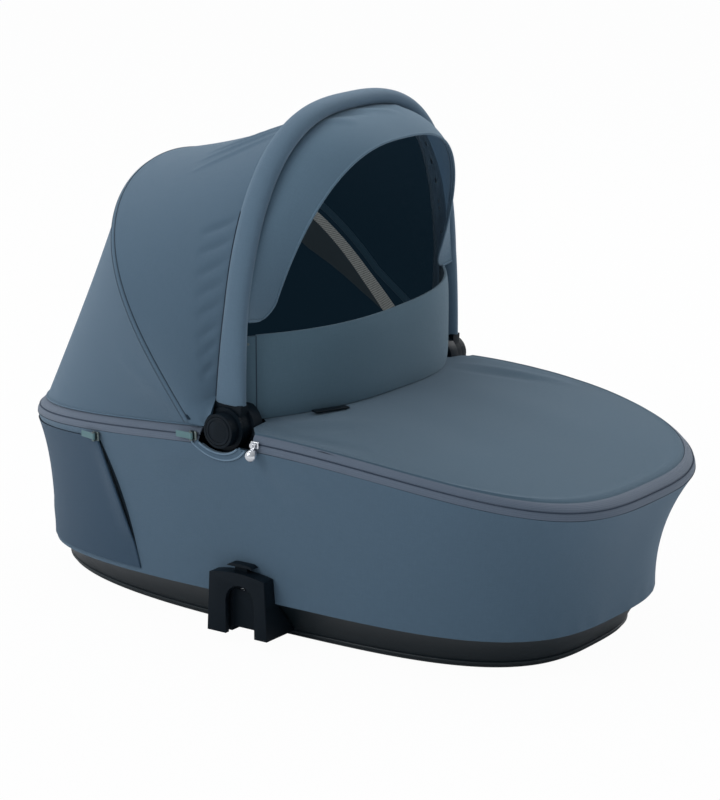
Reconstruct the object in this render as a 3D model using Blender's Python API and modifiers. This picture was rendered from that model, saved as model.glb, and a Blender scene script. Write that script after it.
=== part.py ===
"""A carrycot: a moulded tray and a rim frame dressed in fabric, with a folding hood whose front bow
is the carry handle, a zipped foot cover with a wind flap, and a chassis adapter on each side.

+X points to the foot end, the side with the pocket zip is -Y, and the cot stands on Z = 0.
Sizes are in metres. Lists of shares are fractions of the sizes that they follow."""
import math

import bmesh
import bpy
from mathutils import Matrix, Vector

# Driving dimensions of the tub
COT_LENGTH = 0.788
COT_WIDTH = 0.444
WIDEST_X = 0.016
RIM_HEIGHT = 0.241
RIM_FALL_FOOT = 0.047
RIM_FALL_HEAD = 0.041
RIM_HEAD_POWER = 1.35
FOOT_POWERS = (3.5, 3.05)
HEAD_POWERS = (2.45, 2.33)
GAP = 0.0003
OVERRUN = 0.004

# Outer fabric: how far its hem lies inside the rim outline at the side, foot and head
COVER_THICK = 0.003
HEM_INSETS = (0.0265, 0.040, 0.0145)
HEM_HEIGHT = 0.052
FLARE_POWERS = (2.0, 2.3, 4.0)
HEM_FALL_FOOT = 0.008
HEM_FALL_HEAD = 0.0185
OUTLINE_STEPS = 40
COVER_SHARES = (0.0, 0.3, 0.55, 0.78, 1.0)

# Tray
TRAY_WALL = 0.003
TRAY_FLOOR_HEIGHT = 0.004
TRAY_INSETS = (0.059, 0.066, 0.024)
TRAY_CORNER = 0.012
TRAY_TOP_HEIGHT = 0.094
TRAY_BEAD = 0.0014
TRAY_BEAD_HEIGHT = 0.013
TRAY_BEAD_WIDTH = 0.003
TRAY_SIDE_SHARES = ((0.0, 0.0), (0.55, 0.4), (1.0, 1.0))
FLOOR_RIB_LENGTH = 0.190
FLOOR_RIB_WIDTH = 0.006
FLOOR_RIB_DEPTH = 0.0012
FLOOR_RIB_PITCH = 0.075
FLOOR_RIB_COUNT = 7
PAD_RADIUS = 0.012
PAD_EASE = 0.0016
PAD_STUD_RADIUS = 0.004
PAD_END_INSET = 0.179
PAD_Y = 0.105

# Zips round the rim: two tape bands below the seam, each with its slope
ZIP_BAND = 0.0085
ZIP_THICK = 0.0016
ZIP_SEAM_INSETS = (0.0063, 0.012, 0.014)
ZIP_MID_INSETS = (0.0018, 0.002, 0.003)
ZIP_FOOT_X = 0.036
ZIP_HEAD_X = -0.036

# Foot cover and wind flap
APRON_THICK = 0.004
APRON_CROWN = 0.012
APRON_CROWN_POWER = 0.7
APRON_TUCK = 0.010
APRON_START_X = 0.022
APRON_START_SLOPE = 1.2
APRON_EDGE_SHARE = 0.93
FLAP_SIDE_X = -0.013
FLAP_BULGE = 0.084
FLAP_SIDE_INSET = 0.022
FLAP_END_CLEAR = 0.004
FLAP_POWER = 2.66
FLAP_RISE = 0.103
FLAP_THICK = 0.008
FLAP_EDGE_THICK = 0.003
FLAP_TAB_LENGTH = 0.042
FLAP_TAB_WIDTH = 0.010
FLAP_TAB_THICK = 0.002
FLAP_TAB_INSET = 0.063

# Rim tube, hub stack and side posts: the handle's plane is set in from the tub's side, and the
# hub from the rim's height
HANDLE_INSET = 0.0185
TUBE_RADIUS = 0.007
TUBE_SETBACK = 0.0045
TUBE_DROP = 0.016
HUB_X = -0.006
HUB_DROP = 0.001
BASE_THICK = 0.0147
BASE_RADIUS = 0.027
SOCKET_WALL = 0.0025
SOCKET_REACH = 0.052
SOCKET_DEPTH = 0.022
BASE_LUG_HALF = 0.015
BASE_LUG_LENGTH = 0.031
PIN_RADIUS = 0.005
PIN_HEAD_RADIUS = 0.009
PIN_HEAD_THICK = 0.0022
POST_WIDTH = 0.026
POST_THICK = 0.005
POST_BOTTOM = 0.061
CUTOUT_RADIUS = 0.042
CUTOUT_SHIFT = 0.0065
CUTOUT_RISE = 0.011
CUTOUT_CLEAR = 0.0035

# Handle bow
HANDLE_ANGLE = 87.5
HANDLE_REACH = 0.3255
HANDLE_POWER = 2.8
HANDLE_TUBE_RADIUS = 0.0075
HANDLE_STEPS = 26
SLEEVE_THICK = 0.009
SLEEVE_HALF_LOW = 0.0195
SLEEVE_HALF_HIGH = 0.0148
SLEEVE_TAPER = 0.10
SLEEVE_START = 0.0276
SLEEVE_SIDES = 10
LEG_THICK = 0.013
LEG_HALF = 0.018
LEG_DISC_RADIUS = 0.0235
SPIGOT_RADIUS = 0.0056
SPIGOT_LENGTH = 0.022
BARREL_RADIUS = 0.0186
BARREL_REACH = 0.022
RECESS_RADIUS = 0.0158
RECESS_DEPTH = 0.011
BUTTON_PROUD = 0.0007
BUTTON_THICK = 0.0048
BUTTON_RIM = 0.0008
BUTTON_BORDER = 0.0031
SPRING_TURNS = 3
SPRING_WIRE = 0.0006
SPRING_RADIUS = 0.0088

# Rear bow: its arch stands in a plane behind the hub
BOW_RADIUS = 0.0025
BOW_ANGLE = 128.0
BOW_FOOT_SETBACK = 0.040
BOW_FOOT_RISE = 0.007
BOW_STRAIGHT = 0.024
BOW_REACH = 0.276
BOW_OUT = 0.0152
BOW_POWERS = (1.9, 2.8)
BOW_JOIN = 0.100
BOW_STEPS = 30
BOW_LEAVE_ANGLE = 134.0
BOW_LOW_OUT = 0.012
BOW_LOW_REACH = 0.055
RING_INNER = 0.0189
RING_OUTER = 0.0235
RING_THICK = 0.0032

# Hood fabric
PANEL_THICK = 0.0025
SEAM_CLEAR = 0.0012
PANEL_STEPS = 24
PANEL_ROWS = 5
MID_START_BOW = 0.013
MID_START_HANDLE = 0.032
MID_EDGE_OUT = 0.0085
MID_EDGE_IN = 0.008
MID_BULGE_LOW = 0.0065
MID_SAG_TOP = 0.002
REAR_SAG = 0.001
SAG_HEART_SHARE = 0.4
VENT_SHARES = (0.04, 0.15)
VENT_SPAN_SHARES = (0.14, 0.86)
VENT_DEPTH = 0.0048
VENT_EASE = 2.5
VENT_THICK = 0.001

# Visor
VISOR_ANGLE = 70.0
VISOR_FOOT_SHIFT = 0.0165
VISOR_FOOT_RISE = 0.1054
VISOR_REACH = 0.197
VISOR_SIDE_INSET = 0.048
VISOR_POWERS = (2.69, 2.39)
VISOR_START = 0.112
VISOR_EDGE_START = 0.004
VISOR_IN = 0.0004
VISOR_IN_TOP = 0.0075
VISOR_BULGE = 0.006
PIPING_RADIUS = 0.0026

# Inside the tub
LINER_INSET = 0.0465
LINER_THICK = 0.002
LINER_BOTTOM = 0.061
LINER_SHELF_INSET = 0.0195
LINER_SHARES = (0.5, 0.8)
LINER_RELIEF = 0.013
MATTRESS_GAP = 0.007
MATTRESS_HEIGHT = 0.036
MATTRESS_CROWN = 0.007
MATTRESS_EDGE_SHARES = ((0.11, 0.0), (-0.03, 0.25), (-0.06, 0.5), (-0.03, 0.75), (0.17, 0.97))
MATTRESS_CROWN_SHARES = (0.25, 0.6)

# Head pocket
POCKET_THICK = 0.0015
POCKET_TOP_X = -0.202
POCKET_LOW_X = -0.146
POCKET_TOP_SHARE = 0.93
POCKET_LOW_SHARE = 0.03
POCKET_MARGIN = 0.020

# Chassis adapter
ADAPTER_X = 0.008
ADAPTER_INSET = 0.0075
ADAPTER_TOP_WIDTH = 0.073
ADAPTER_LOW_WIDTH = 0.080
ADAPTER_BOTTOM = 0.013
ADAPTER_SHOULDER = 0.079
ADAPTER_CROWN = 0.004
ADAPTER_DEPTH = 0.0515
ADAPTER_PLATE = 0.006
ADAPTER_BEND_SHARE = 0.45
SLOT_WIDTH = 0.038
SLOT_SHIFT = 0.004
SLOT_TOP = 0.0695
SLOT_DEPTH = 0.013
GROOVE_WIDTH = 0.050
GROOVE_THICK = 0.0055
GROOVE_TOP = 0.061
BACK_WALL_LIFT = 0.005
LATCH_WIDTH = 0.034
LATCH_DEPTH = 0.011
LATCH_RISE = 0.0085
LATCH_TRAVEL = 0.005
LATCH_STEM_WIDTH = 0.016
LATCH_STEM_THICK = 0.005
LATCH_STEM_LENGTH = 0.012
LATCH_SETBACK = 0.011
LATCH_SPRING_RADIUS = 0.0020
LATCH_SPRING_WIRE = 0.0004
LATCH_POCKET_DEPTH = 0.022

# Zip sliders and pulls
SLIDER_LENGTH = 0.010
SLIDER_HEIGHT = 0.008
SLIDER_THICK = 0.003
STUD_RADIUS = 0.0015
STUD_LENGTH = 0.0052
EYE_OUTER = 0.0036
EYE_THICK = 0.0015
EYE_SHARE = 0.62
BALL_RADIUS = 0.0070
BALL_DROP = 0.0100
NECK_WIDTH = 0.0024
TAB_LENGTH = 0.021
TAB_HEIGHT = 0.0070
TAB_THICK = 0.0012
TAB_PIN_RADIUS = 0.0009
TAB_LOOP_RADIUS = 0.0021
EAR_THICK = 0.0012
APRON_SLIDER_X = 0.041
APRON_SLIDER_DROP = 0.0004
HOOD_SLIDER_X = -0.042
POCKET_SLIDER_X = -0.191
POCKET_SLIDER_SHARE = 0.965
ZIP_SIGHT_SHARE = 0.02

COLLECTION_NAME = "carrycot"
MATERIALS = {
    "shell_fabric": ((0.072, 0.117, 0.165), 0.82, 0.0),
    "pocket_fabric": ((0.060, 0.098, 0.142), 0.84, 0.0),
    "zip_tape": ((0.120, 0.155, 0.210), 0.70, 0.0),
    "lining": ((0.010, 0.020, 0.032), 0.85, 0.0),
    "mattress": ((0.020, 0.032, 0.044), 0.90, 0.0),
    "black_plastic": ((0.012, 0.017, 0.024), 0.45, 0.0),
    "tray_plastic": ((0.022, 0.030, 0.036), 0.50, 0.0),
    "metal": ((0.62, 0.63, 0.65), 0.30, 1.0),
    "silver": ((0.80, 0.80, 0.82), 0.18, 1.0),
    "rubber": ((0.02, 0.02, 0.02), 0.80, 0.0),
    "pull_tape": ((0.055, 0.130, 0.130), 0.75, 0.0),
    "mesh_net": ((0.30, 0.31, 0.31), 0.60, 0.0),
}

HALF_LENGTH = COT_LENGTH / 2
HALF_WIDTH = COT_WIDTH / 2
PAD_X = HALF_LENGTH - PAD_END_INSET

# Planes of the hub stack and what stands on it, worked out from the tub's side and the rim
HANDLE_HALF = HALF_WIDTH - HANDLE_INSET
BASE_OUTER = HANDLE_HALF - LEG_THICK / 2 - GAP
BASE_INNER = BASE_OUTER - BASE_THICK
TUBE_PLANE = BASE_INNER + TUBE_SETBACK
BARREL_FACE = HANDLE_HALF + BARREL_REACH
BOW_HALF = HANDLE_HALF + BOW_OUT
BOW_LOW_PLANE = HANDLE_HALF + BOW_LOW_OUT
VISOR_HALF = HANDLE_HALF - VISOR_SIDE_INSET
HUB_Z = RIM_HEIGHT - HUB_DROP
BASE_LUG_BOTTOM = HUB_Z - BASE_LUG_LENGTH
CUTOUT_X = HUB_X + CUTOUT_SHIFT
CUTOUT_Z = HUB_Z + CUTOUT_RISE
CUTOUT_INNER = BASE_INNER - CUTOUT_CLEAR
FLAP_HALF_WIDTH = HALF_WIDTH - FLAP_SIDE_INSET
FLAP_END_Y = BASE_INNER - FLAP_END_CLEAR
FLAP_TAB_Y = FLAP_TAB_INSET - FLAP_END_Y
FLAP_TOP = RIM_HEIGHT + FLAP_RISE
ADAPTER_FACE = HALF_WIDTH - ADAPTER_INSET
ADAPTER_BACK = ADAPTER_FACE - ADAPTER_DEPTH
LATCH_PLANE = ADAPTER_FACE - LATCH_SETBACK
HUB = Vector((HUB_X, 0, HUB_Z))


# Scene set-up

def clear_scene():
    for item in list(bpy.data.objects):
        bpy.data.objects.remove(item, do_unlink=True)


def new_collection(name):
    group = bpy.data.collections.new(name)
    bpy.context.scene.collection.children.link(group)
    return group


def make_material(name):
    colour, roughness, metallic = MATERIALS[name]
    made = bpy.data.materials.new(name)
    made.use_nodes = True
    shader = made.node_tree.nodes["Principled BSDF"]
    shader.inputs["Base Color"].default_value = (*colour, 1)
    shader.inputs["Roughness"].default_value = roughness
    shader.inputs["Metallic"].default_value = metallic
    return made


clear_scene()
PARTS = new_collection(COLLECTION_NAME)
CUTTERS = new_collection(COLLECTION_NAME + "_cutters")
FINISH = {name: make_material(name) for name in MATERIALS}


def move_to(group, item):
    for old in list(item.users_collection):
        old.objects.unlink(item)
    group.objects.link(item)


def add_object(name, mesh, finish=None, group=None):
    item = bpy.data.objects.new(name, mesh)
    (group or PARTS).objects.link(item)
    if finish:
        mesh.materials.clear()
        mesh.materials.append(FINISH[finish])
    return item


def mesh_from_bmesh(name, shape):
    mesh = bpy.data.meshes.new(name)
    shape.to_mesh(mesh)
    shape.free()
    return mesh


def bake(item, smooth=35):
    """Replaces an object's modifiers by the mesh that they give."""
    bpy.context.view_layer.update()
    seen = item.evaluated_get(bpy.context.evaluated_depsgraph_get())
    mesh = bpy.data.meshes.new_from_object(seen)
    finish = item.data.materials[0] if item.data.materials else None
    item.modifiers.clear()
    item.data = mesh
    mesh.name = item.name
    mesh.materials.clear()
    if finish:
        mesh.materials.append(finish)
    mesh.shade_smooth()
    mesh.set_sharp_from_angle(angle=math.radians(smooth))
    return item


def curve_to_mesh(item):
    """Turns a bevelled curve into a mesh whose caps are welded on."""
    bpy.context.view_layer.update()
    seen = item.evaluated_get(bpy.context.evaluated_depsgraph_get())
    mesh = bpy.data.meshes.new_from_object(seen)
    shape = bmesh.new()
    shape.from_mesh(mesh)
    bmesh.ops.remove_doubles(shape, verts=shape.verts, dist=GAP / 10)
    bmesh.ops.recalc_face_normals(shape, faces=shape.faces)
    shape.to_mesh(mesh)
    shape.free()
    name = item.name
    made = bpy.data.objects.new(name + "_mesh", mesh)
    made.matrix_world = item.matrix_world
    for group in item.users_collection:
        group.objects.link(made)
    bpy.data.objects.remove(item, do_unlink=True)
    made.name = name
    mesh.name = name
    mesh.shade_smooth()
    return made


def cutter(name, mesh):
    item = add_object(name, mesh, group=CUTTERS)
    item.hide_render = True
    item.display_type = "WIRE"
    return item


def combine(item, others, operation="DIFFERENCE"):
    for other in others:
        change = item.modifiers.new(other.name, "BOOLEAN")
        change.operation = operation
        change.solver = "EXACT"
        change.object = other
    return bake(item)


def set_pivot(item, pivot):
    """Puts an object's origin on its joint's axis without moving its surface."""
    item.data.transform(Matrix.Translation(-Vector(pivot)))
    item.location = pivot
    return item


def far_copy(item, name):
    """The far side's piece is the near side's, mirrored in the middle plane."""
    mesh = item.data.copy()
    mesh.transform(Matrix.Translation(item.location))
    mesh.transform(Matrix.Scale(-1, 4, (0, 1, 0)))
    mesh.flip_normals()
    mesh.name = name
    made = add_object(name, mesh)
    pivot = Vector((item.location.x, -item.location.y, item.location.z))
    return set_pivot(made, pivot)


# Shape helpers

def spread(start, end, count):
    return [start + (end - start) * k / (count - 1) for k in range(count)]


def mix(a, b, share):
    return a + (b - a) * share


def signed_power(value, power):
    return math.copysign(abs(value) ** power, value)


def grid_surface(name, rows, finish, wrap=False, flip=False):
    """An open surface through rows of points; wrap joins each row's end to its start."""
    shape = bmesh.new()
    verts = [[shape.verts.new(p) for p in row] for row in rows]
    width = len(rows[0])
    for low, high in zip(verts, verts[1:]):
        for k in range(width if wrap else width - 1):
            n = (k + 1) % width
            face = [low[k], low[n], high[n], high[k]]
            shape.faces.new(face[::-1] if flip else face)
    return add_object(name, mesh_from_bmesh(name, shape), finish)


def grid_normals(rows, wrap=False):
    """The surface direction at each point of a grid: along the row, crossed with up the rows."""
    made = []
    for j, row in enumerate(rows):
        below, above = rows[max(0, j - 1)], rows[min(len(rows) - 1, j + 1)]
        line = []
        for k in range(len(row)):
            after = (k + 1) % len(row) if wrap else min(len(row) - 1, k + 1)
            before = k - 1 if wrap else max(0, k - 1)
            line.append((row[after] - row[before]).cross(above[k] - below[k]).normalized())
        made.append(line)
    return made


def shell(name, rows, thick, finish, backs=None, wrap=False):
    """A closed sheet: the rows are its outer face, and the back lies at thick inside it.

    backs gives the points behind a row whose edge has to lie along its neighbour."""
    backs = backs or {}
    back = []
    for j, (row, normals) in enumerate(zip(rows, grid_normals(rows, wrap))):
        back.append(backs[j] if j in backs else [p + n * thick for p, n in zip(row, normals)])
    rings = []
    for k in range(len(rows[0])):
        rings.append([row[k] for row in rows] + [row[k] for row in back[::-1]])
    return closed_loft(name, rings, finish, wrap=wrap)


def thicken(item, thick, offset=-1.0):
    shell = item.modifiers.new("thickness", "SOLIDIFY")
    shell.thickness = thick
    shell.offset = offset
    shell.use_even_offset = True
    return bake(item)


def closed_loft(name, rings, finish, group=None, wrap=False):
    """A closed solid through rings of equal point count; wrap joins the last ring to the first."""
    shape = bmesh.new()
    verts = [[shape.verts.new(p) for p in ring] for ring in rings]
    width = len(rings[0])
    for low, high in zip(verts, verts[1:] + verts[:1] if wrap else verts[1:]):
        for k in range(width):
            n = (k + 1) % width
            shape.faces.new([low[k], low[n], high[n], high[k]])
    if not wrap:
        shape.faces.new(verts[0][::-1])
        shape.faces.new(verts[-1])
    bmesh.ops.recalc_face_normals(shape, faces=shape.faces)
    item = add_object(name, mesh_from_bmesh(name, shape), finish, group)
    item.data.shade_smooth()
    item.data.set_sharp_from_angle(angle=math.radians(35))
    return item


def cylinder_mesh(name, radius, start, end, sides=32, end_radius=None):
    """A cylinder or cone from start to end."""
    start, end = Vector(start), Vector(end)
    shape = bmesh.new()
    bmesh.ops.create_cone(shape, cap_ends=True, segments=sides, radius1=radius,
                          radius2=radius if end_radius is None else end_radius,
                          depth=(end - start).length)
    turn = (end - start).to_track_quat("Z", "Y").to_matrix().to_4x4()
    shape.transform(Matrix.Translation((start + end) / 2) @ turn)
    return mesh_from_bmesh(name, shape)


def box_mesh(name, low, high, bevel=0.0):
    low, high = Vector(low), Vector(high)
    shape = bmesh.new()
    bmesh.ops.create_cube(shape, size=1)
    shape.transform(Matrix.Translation((low + high) / 2) @ Matrix.Diagonal((*(high - low), 1)))
    if bevel:
        bmesh.ops.bevel(shape, geom=shape.edges[:], offset=bevel, segments=1, affect="EDGES")
    return mesh_from_bmesh(name, shape)


def prism_mesh(name, outline, start, end, place):
    """A flat outline pushed from start to end; place turns (u, v, depth) into a point."""
    shape = bmesh.new()
    low = [shape.verts.new(place(u, v, start)) for u, v in outline]
    high = [shape.verts.new(place(u, v, end)) for u, v in outline]
    count = len(outline)
    for k in range(count):
        n = (k + 1) % count
        shape.faces.new([low[k], low[n], high[n], high[k]])
    shape.faces.new(low[::-1])
    shape.faces.new(high)
    bmesh.ops.recalc_face_normals(shape, faces=shape.faces)
    return mesh_from_bmesh(name, shape)


def tube(name, points, radius, finish, resolution=2):
    line = bpy.data.curves.new(name, "CURVE")
    line.dimensions = "3D"
    line.bevel_depth = radius
    line.bevel_resolution = resolution
    line.use_fill_caps = True
    spline = line.splines.new("POLY")
    spline.points.add(len(points) - 1)
    for knot, place in zip(spline.points, points):
        knot.co = (*place, 1)
    item = bpy.data.objects.new(name, line)
    PARTS.objects.link(item)
    made = curve_to_mesh(item)
    made.data.materials.clear()
    made.data.materials.append(FINISH[finish])
    return made


def circle(radius, count, start=0.0, turn=math.tau):
    return [(radius * math.cos(start + turn * k / count), radius * math.sin(start + turn * k / count))
            for k in range(count)]


# The tub's own curves

def oval(angle, side=0.0, foot=None, head=None):
    """A plan point: angle 0 is the foot end and -90 degrees the near side; the others are insets."""
    foot = side if foot is None else foot
    head = side if head is None else head
    c, s = math.cos(angle), math.sin(angle)
    if c >= 0:
        reach, powers = HALF_LENGTH - foot - WIDEST_X, FOOT_POWERS
    else:
        reach, powers = HALF_LENGTH - head + WIDEST_X, HEAD_POWERS
    x = WIDEST_X + reach * signed_power(c, 2 / powers[0])
    y = (HALF_WIDTH - side) * signed_power(s, 2 / powers[1])
    return x, y


def station_point(station, *insets):
    """The plan point at a station: whole stations are the outline's corners, the rest its chords."""
    low = math.floor(station)
    a, b = (oval(math.tau * k / OUTLINE_STEPS, *insets) for k in (low, low + 1))
    return mix(a[0], b[0], station - low), mix(a[1], b[1], station - low)


def station_at(x, *insets):
    """The near side's station at a given x; stations run from 0 at the foot to minus half a turn."""
    for k in range(OUTLINE_STEPS // 2):
        high, low = station_point(-k, *insets)[0], station_point(-k - 1, *insets)[0]
        if low <= x <= high:
            return -k - (high - x) / (high - low)
    return -OUTLINE_STEPS / 2 if x < 0 else 0.0


def stations_between(start, end):
    """The two ends with every corner of the outline between them."""
    step = 1 if end > start else -1
    low, high = min(start, end), max(start, end)
    corners = [k for k in range(math.ceil(low), math.floor(high) + 1) if low < k < high]
    return [start] + corners[::step] + [end]


def rim_height(station):
    """The seam's height at a station, which the whole rim follows there."""
    return rim_z(station_point(station, *ZIP_SEAM_INSETS)[0])


def head_stations(x, *insets):
    """From the near side round the head end to the far side."""
    start = station_at(x, *insets)
    return stations_between(start, -OUTLINE_STEPS - start)


def foot_stations(x, *insets):
    """From the near side round the foot end to the far side."""
    start = station_at(x, *insets)
    return stations_between(start, -start)


def fall(x, foot_fall, head_fall, head_power=2.0):
    """How far an edge has dropped at x: the falls are those at the seam's two ends."""
    if x >= WIDEST_X:
        return foot_fall * ((x - WIDEST_X) / (HALF_LENGTH - ZIP_SEAM_INSETS[1] - WIDEST_X)) ** 2
    return head_fall * ((WIDEST_X - x) / (HALF_LENGTH - ZIP_SEAM_INSETS[2] + WIDEST_X)) ** head_power


def rim_z(x):
    return RIM_HEIGHT - fall(x, RIM_FALL_FOOT, RIM_FALL_HEAD, RIM_HEAD_POWER)


def hem_z(x):
    return HEM_HEIGHT - fall(x, HEM_FALL_FOOT, HEM_FALL_HEAD)


def flare_at(share, power=FLARE_POWERS[0]):
    """How much of the hem's inset is left at a share of the height, along the fabric's facets."""
    for low, high in zip(COVER_SHARES, COVER_SHARES[1:]):
        if share <= high:
            return 1 - mix(low ** power, high ** power, (share - low) / (high - low))
    return 0.0


def wall_point(station, share, extra=0.0):
    """A point of the outer fabric: share 0 is the hem and 1 the zip; extra moves it inward."""
    insets = [inset * flare_at(share, power) + extra for inset, power in zip(HEM_INSETS, FLARE_POWERS)]
    x, y = station_point(station, *insets)
    return Vector((x, y, mix(hem_z(x), rim_height(station) - 2 * ZIP_BAND - GAP, share)))


def wall_share(height):
    top = RIM_HEIGHT - 2 * ZIP_BAND
    return max(0.0, min(1.0, (height - HEM_HEIGHT) / (top - HEM_HEIGHT)))


def wall_inset_at(height):
    """The outer fabric's side inset from the rim outline at a height beside the hub."""
    return HEM_INSETS[0] * flare_at(wall_share(height))


CORNERS = range(OUTLINE_STEPS)


# Tray and what it stands on

def tray_rings():
    """The tray's outside, from the floor's edge up to the top of its wall."""
    hem = [inset + COVER_THICK + GAP for inset in HEM_INSETS]
    low = TRAY_INSETS
    rings = []

    def ring(insets, height):
        points = []
        for station in CORNERS:
            x, y = station_point(station, *insets)
            points.append(Vector((x, y, height(x) if callable(height) else height)))
        rings.append(points)

    ring([inset + TRAY_CORNER for inset in low], TRAY_FLOOR_HEIGHT)
    ring([inset + TRAY_CORNER / 4 for inset in low], TRAY_FLOOR_HEIGHT + TRAY_CORNER / 5)
    ring(low, TRAY_BEAD_HEIGHT - TRAY_BEAD_WIDTH)
    ring([inset - TRAY_BEAD for inset in low], TRAY_BEAD_HEIGHT - TRAY_BEAD_WIDTH / 2)
    start = [inset - TRAY_BEAD / 2 for inset in low]
    for height_share, inset_share in TRAY_SIDE_SHARES:
        insets = [mix(a, b, inset_share) for a, b in zip(start, hem)]
        ring(insets, lambda x, s=height_share: mix(TRAY_BEAD_HEIGHT, hem_z(x), s))
    share = wall_share(TRAY_TOP_HEIGHT)
    rings.append([wall_point(station, share, COVER_THICK + GAP) for station in CORNERS])
    return rings


def make_tray():
    shape = bmesh.new()
    rings = [[shape.verts.new(p) for p in ring] for ring in tray_rings()]
    for low, high in zip(rings, rings[1:]):
        for k in range(OUTLINE_STEPS):
            n = (k + 1) % OUTLINE_STEPS
            shape.faces.new([low[k], low[n], high[n], high[k]])
    shape.faces.new(rings[0][::-1])
    tray = add_object("base_tray", mesh_from_bmesh("base_tray", shape), "tray_plastic")
    thicken(tray, TRAY_WALL)
    cutters = []
    for k, (x, y) in enumerate(pad_places()):
        cutters.append(cutter(f"stud_hole_{k}", cylinder_mesh(
            f"stud_hole_{k}", PAD_STUD_RADIUS + GAP, (x, y, TRAY_FLOOR_HEIGHT - OVERRUN),
            (x, y, TRAY_FLOOR_HEIGHT + TRAY_WALL + OVERRUN), 16)))
    for k in range(FLOOR_RIB_COUNT):
        x = (k - (FLOOR_RIB_COUNT - 1) / 2) * FLOOR_RIB_PITCH
        cutters.append(cutter(f"floor_rib_{k}", box_mesh(
            f"floor_rib_{k}",
            (x - FLOOR_RIB_WIDTH / 2, -FLOOR_RIB_LENGTH / 2, TRAY_FLOOR_HEIGHT - OVERRUN),
            (x + FLOOR_RIB_WIDTH / 2, FLOOR_RIB_LENGTH / 2, TRAY_FLOOR_HEIGHT + FLOOR_RIB_DEPTH))))
    return combine(tray, cutters)


def pad_places():
    return [(sx * PAD_X, sy * PAD_Y) for sx in (-1, 1) for sy in (-1, 1)]


def make_pads():
    names = ("pad_head_near", "pad_head_far", "pad_foot_near", "pad_foot_far")
    for name, (x, y) in zip(names, pad_places()):
        top = TRAY_FLOOR_HEIGHT - GAP
        rings = []
        profile = ((PAD_RADIUS - PAD_EASE, 0.0), (PAD_RADIUS, PAD_EASE), (PAD_RADIUS, top),
                   (PAD_STUD_RADIUS, top),
                   (PAD_STUD_RADIUS, TRAY_FLOOR_HEIGHT + TRAY_WALL - GAP))
        for radius, z in profile:
            rings.append([Vector((x + u, y + v, z)) for u, v in circle(radius, 16)])
        closed_loft(name, rings, "rubber")


# Fabric round the tub

def make_cover():
    rows = [[wall_point(station, share) for station in CORNERS] for share in COVER_SHARES]
    top = [wall_point(station, 1.0, COVER_THICK) for station in CORNERS]
    cover = shell("body_cover", rows[::-1], COVER_THICK, "shell_fabric", {0: top}, wrap=True)
    return combine(cover, HUB_CUTTERS)


def make_pocket():
    """The head pocket's panel follows the fabric's facets and is cut along its slanted opening."""
    shares = [POCKET_LOW_SHARE] + list(COVER_SHARES[1:-1]) + [POCKET_TOP_SHARE]
    stations = head_stations(POCKET_LOW_X + POCKET_MARGIN)
    rows, backs = [], {}
    for k, share in enumerate(shares):
        rows.append([wall_point(station, share, -GAP - POCKET_THICK) for station in stations])
        backs[k] = [wall_point(station, share, -GAP) for station in stations]
    pocket = shell("head_pocket", rows, POCKET_THICK, "pocket_fabric", backs)
    slope = (POCKET_TOP_X - POCKET_LOW_X) / (RIM_HEIGHT - HEM_HEIGHT)
    low, high = HEM_HEIGHT - POCKET_MARGIN, RIM_HEIGHT + POCKET_MARGIN
    outline = [(POCKET_LOW_X - slope * POCKET_MARGIN, low), (HALF_LENGTH, low),
               (HALF_LENGTH, high), (POCKET_TOP_X + slope * POCKET_MARGIN, high)]
    opening = cutter("pocket_opening", prism_mesh(
        "pocket_opening", outline, -HALF_WIDTH - POCKET_MARGIN, HALF_WIDTH + POCKET_MARGIN, near_point))
    return combine(pocket, [opening])


def make_zip_band(name, stations, insets, drops):
    """One tape band round the rim: insets and drops are those of its lower and upper edges."""
    rings = []
    for station in stations:
        ring = []
        for extra, order in ((0.0, (0, 1)), (ZIP_THICK, (1, 0))):
            for k in order:
                x, y = station_point(station, *[inset + extra for inset in insets[k]])
                ring.append(Vector((x, y, rim_height(station) - drops[k])))
        rings.append(ring)
    closed_loft(name, rings, "zip_tape")


def make_zips():
    spans = {"foot": foot_stations(ZIP_FOOT_X), "head": head_stations(ZIP_HEAD_X)}
    for end, stations in spans.items():
        make_zip_band(f"{end}_zip_upper", stations, (ZIP_MID_INSETS, ZIP_SEAM_INSETS), (ZIP_BAND, 0.0))
        make_zip_band(f"{end}_zip_lower", stations, ((0.0,) * 3, ZIP_MID_INSETS),
                      (2 * ZIP_BAND, ZIP_BAND + GAP))


def make_liner():
    """The lining hangs from a shelf that covers the rim tube, and is open round the hubs."""
    shelf_top = TUBE_DROP - TUBE_RADIUS - 3 * GAP - LINER_THICK
    rows = [[Vector((p.x, p.y, LINER_BOTTOM)) for p in
             (wall_point(station, wall_share(LINER_BOTTOM), LINER_INSET) for station in CORNERS)]]
    for share in LINER_SHARES:
        rows.append([wall_point(station, share, LINER_INSET) for station in CORNERS])
    for inset, drop in ((LINER_INSET, shelf_top + LINER_THICK), (LINER_INSET, shelf_top),
                        (LINER_SHELF_INSET, shelf_top)):
        row = []
        for station in CORNERS:
            x, y = station_point(station, inset)
            row.append(Vector((x, y, rim_height(station) - drop)))
        rows.append(row)
    liner = grid_surface("inner_liner", rows, "lining", wrap=True)
    thicken(liner, LINER_THICK)
    half = SOCKET_REACH + LINER_RELIEF
    inner = TUBE_PLANE - TUBE_RADIUS - SOCKET_WALL - 2 * GAP
    low = rim_z(HUB_X) - TUBE_DROP - TUBE_RADIUS - SOCKET_WALL - OVERRUN
    reliefs = []
    for side in (-1, 1):
        edges = sorted((side * inner, side * (HALF_WIDTH + OVERRUN)))
        reliefs.append(cutter(f"liner_relief_{side}", box_mesh(
            f"liner_relief_{side}", (HUB_X - half, edges[0], low),
            (HUB_X + half, edges[1], RIM_HEIGHT + OVERRUN))))
    return combine(liner, reliefs)


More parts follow.
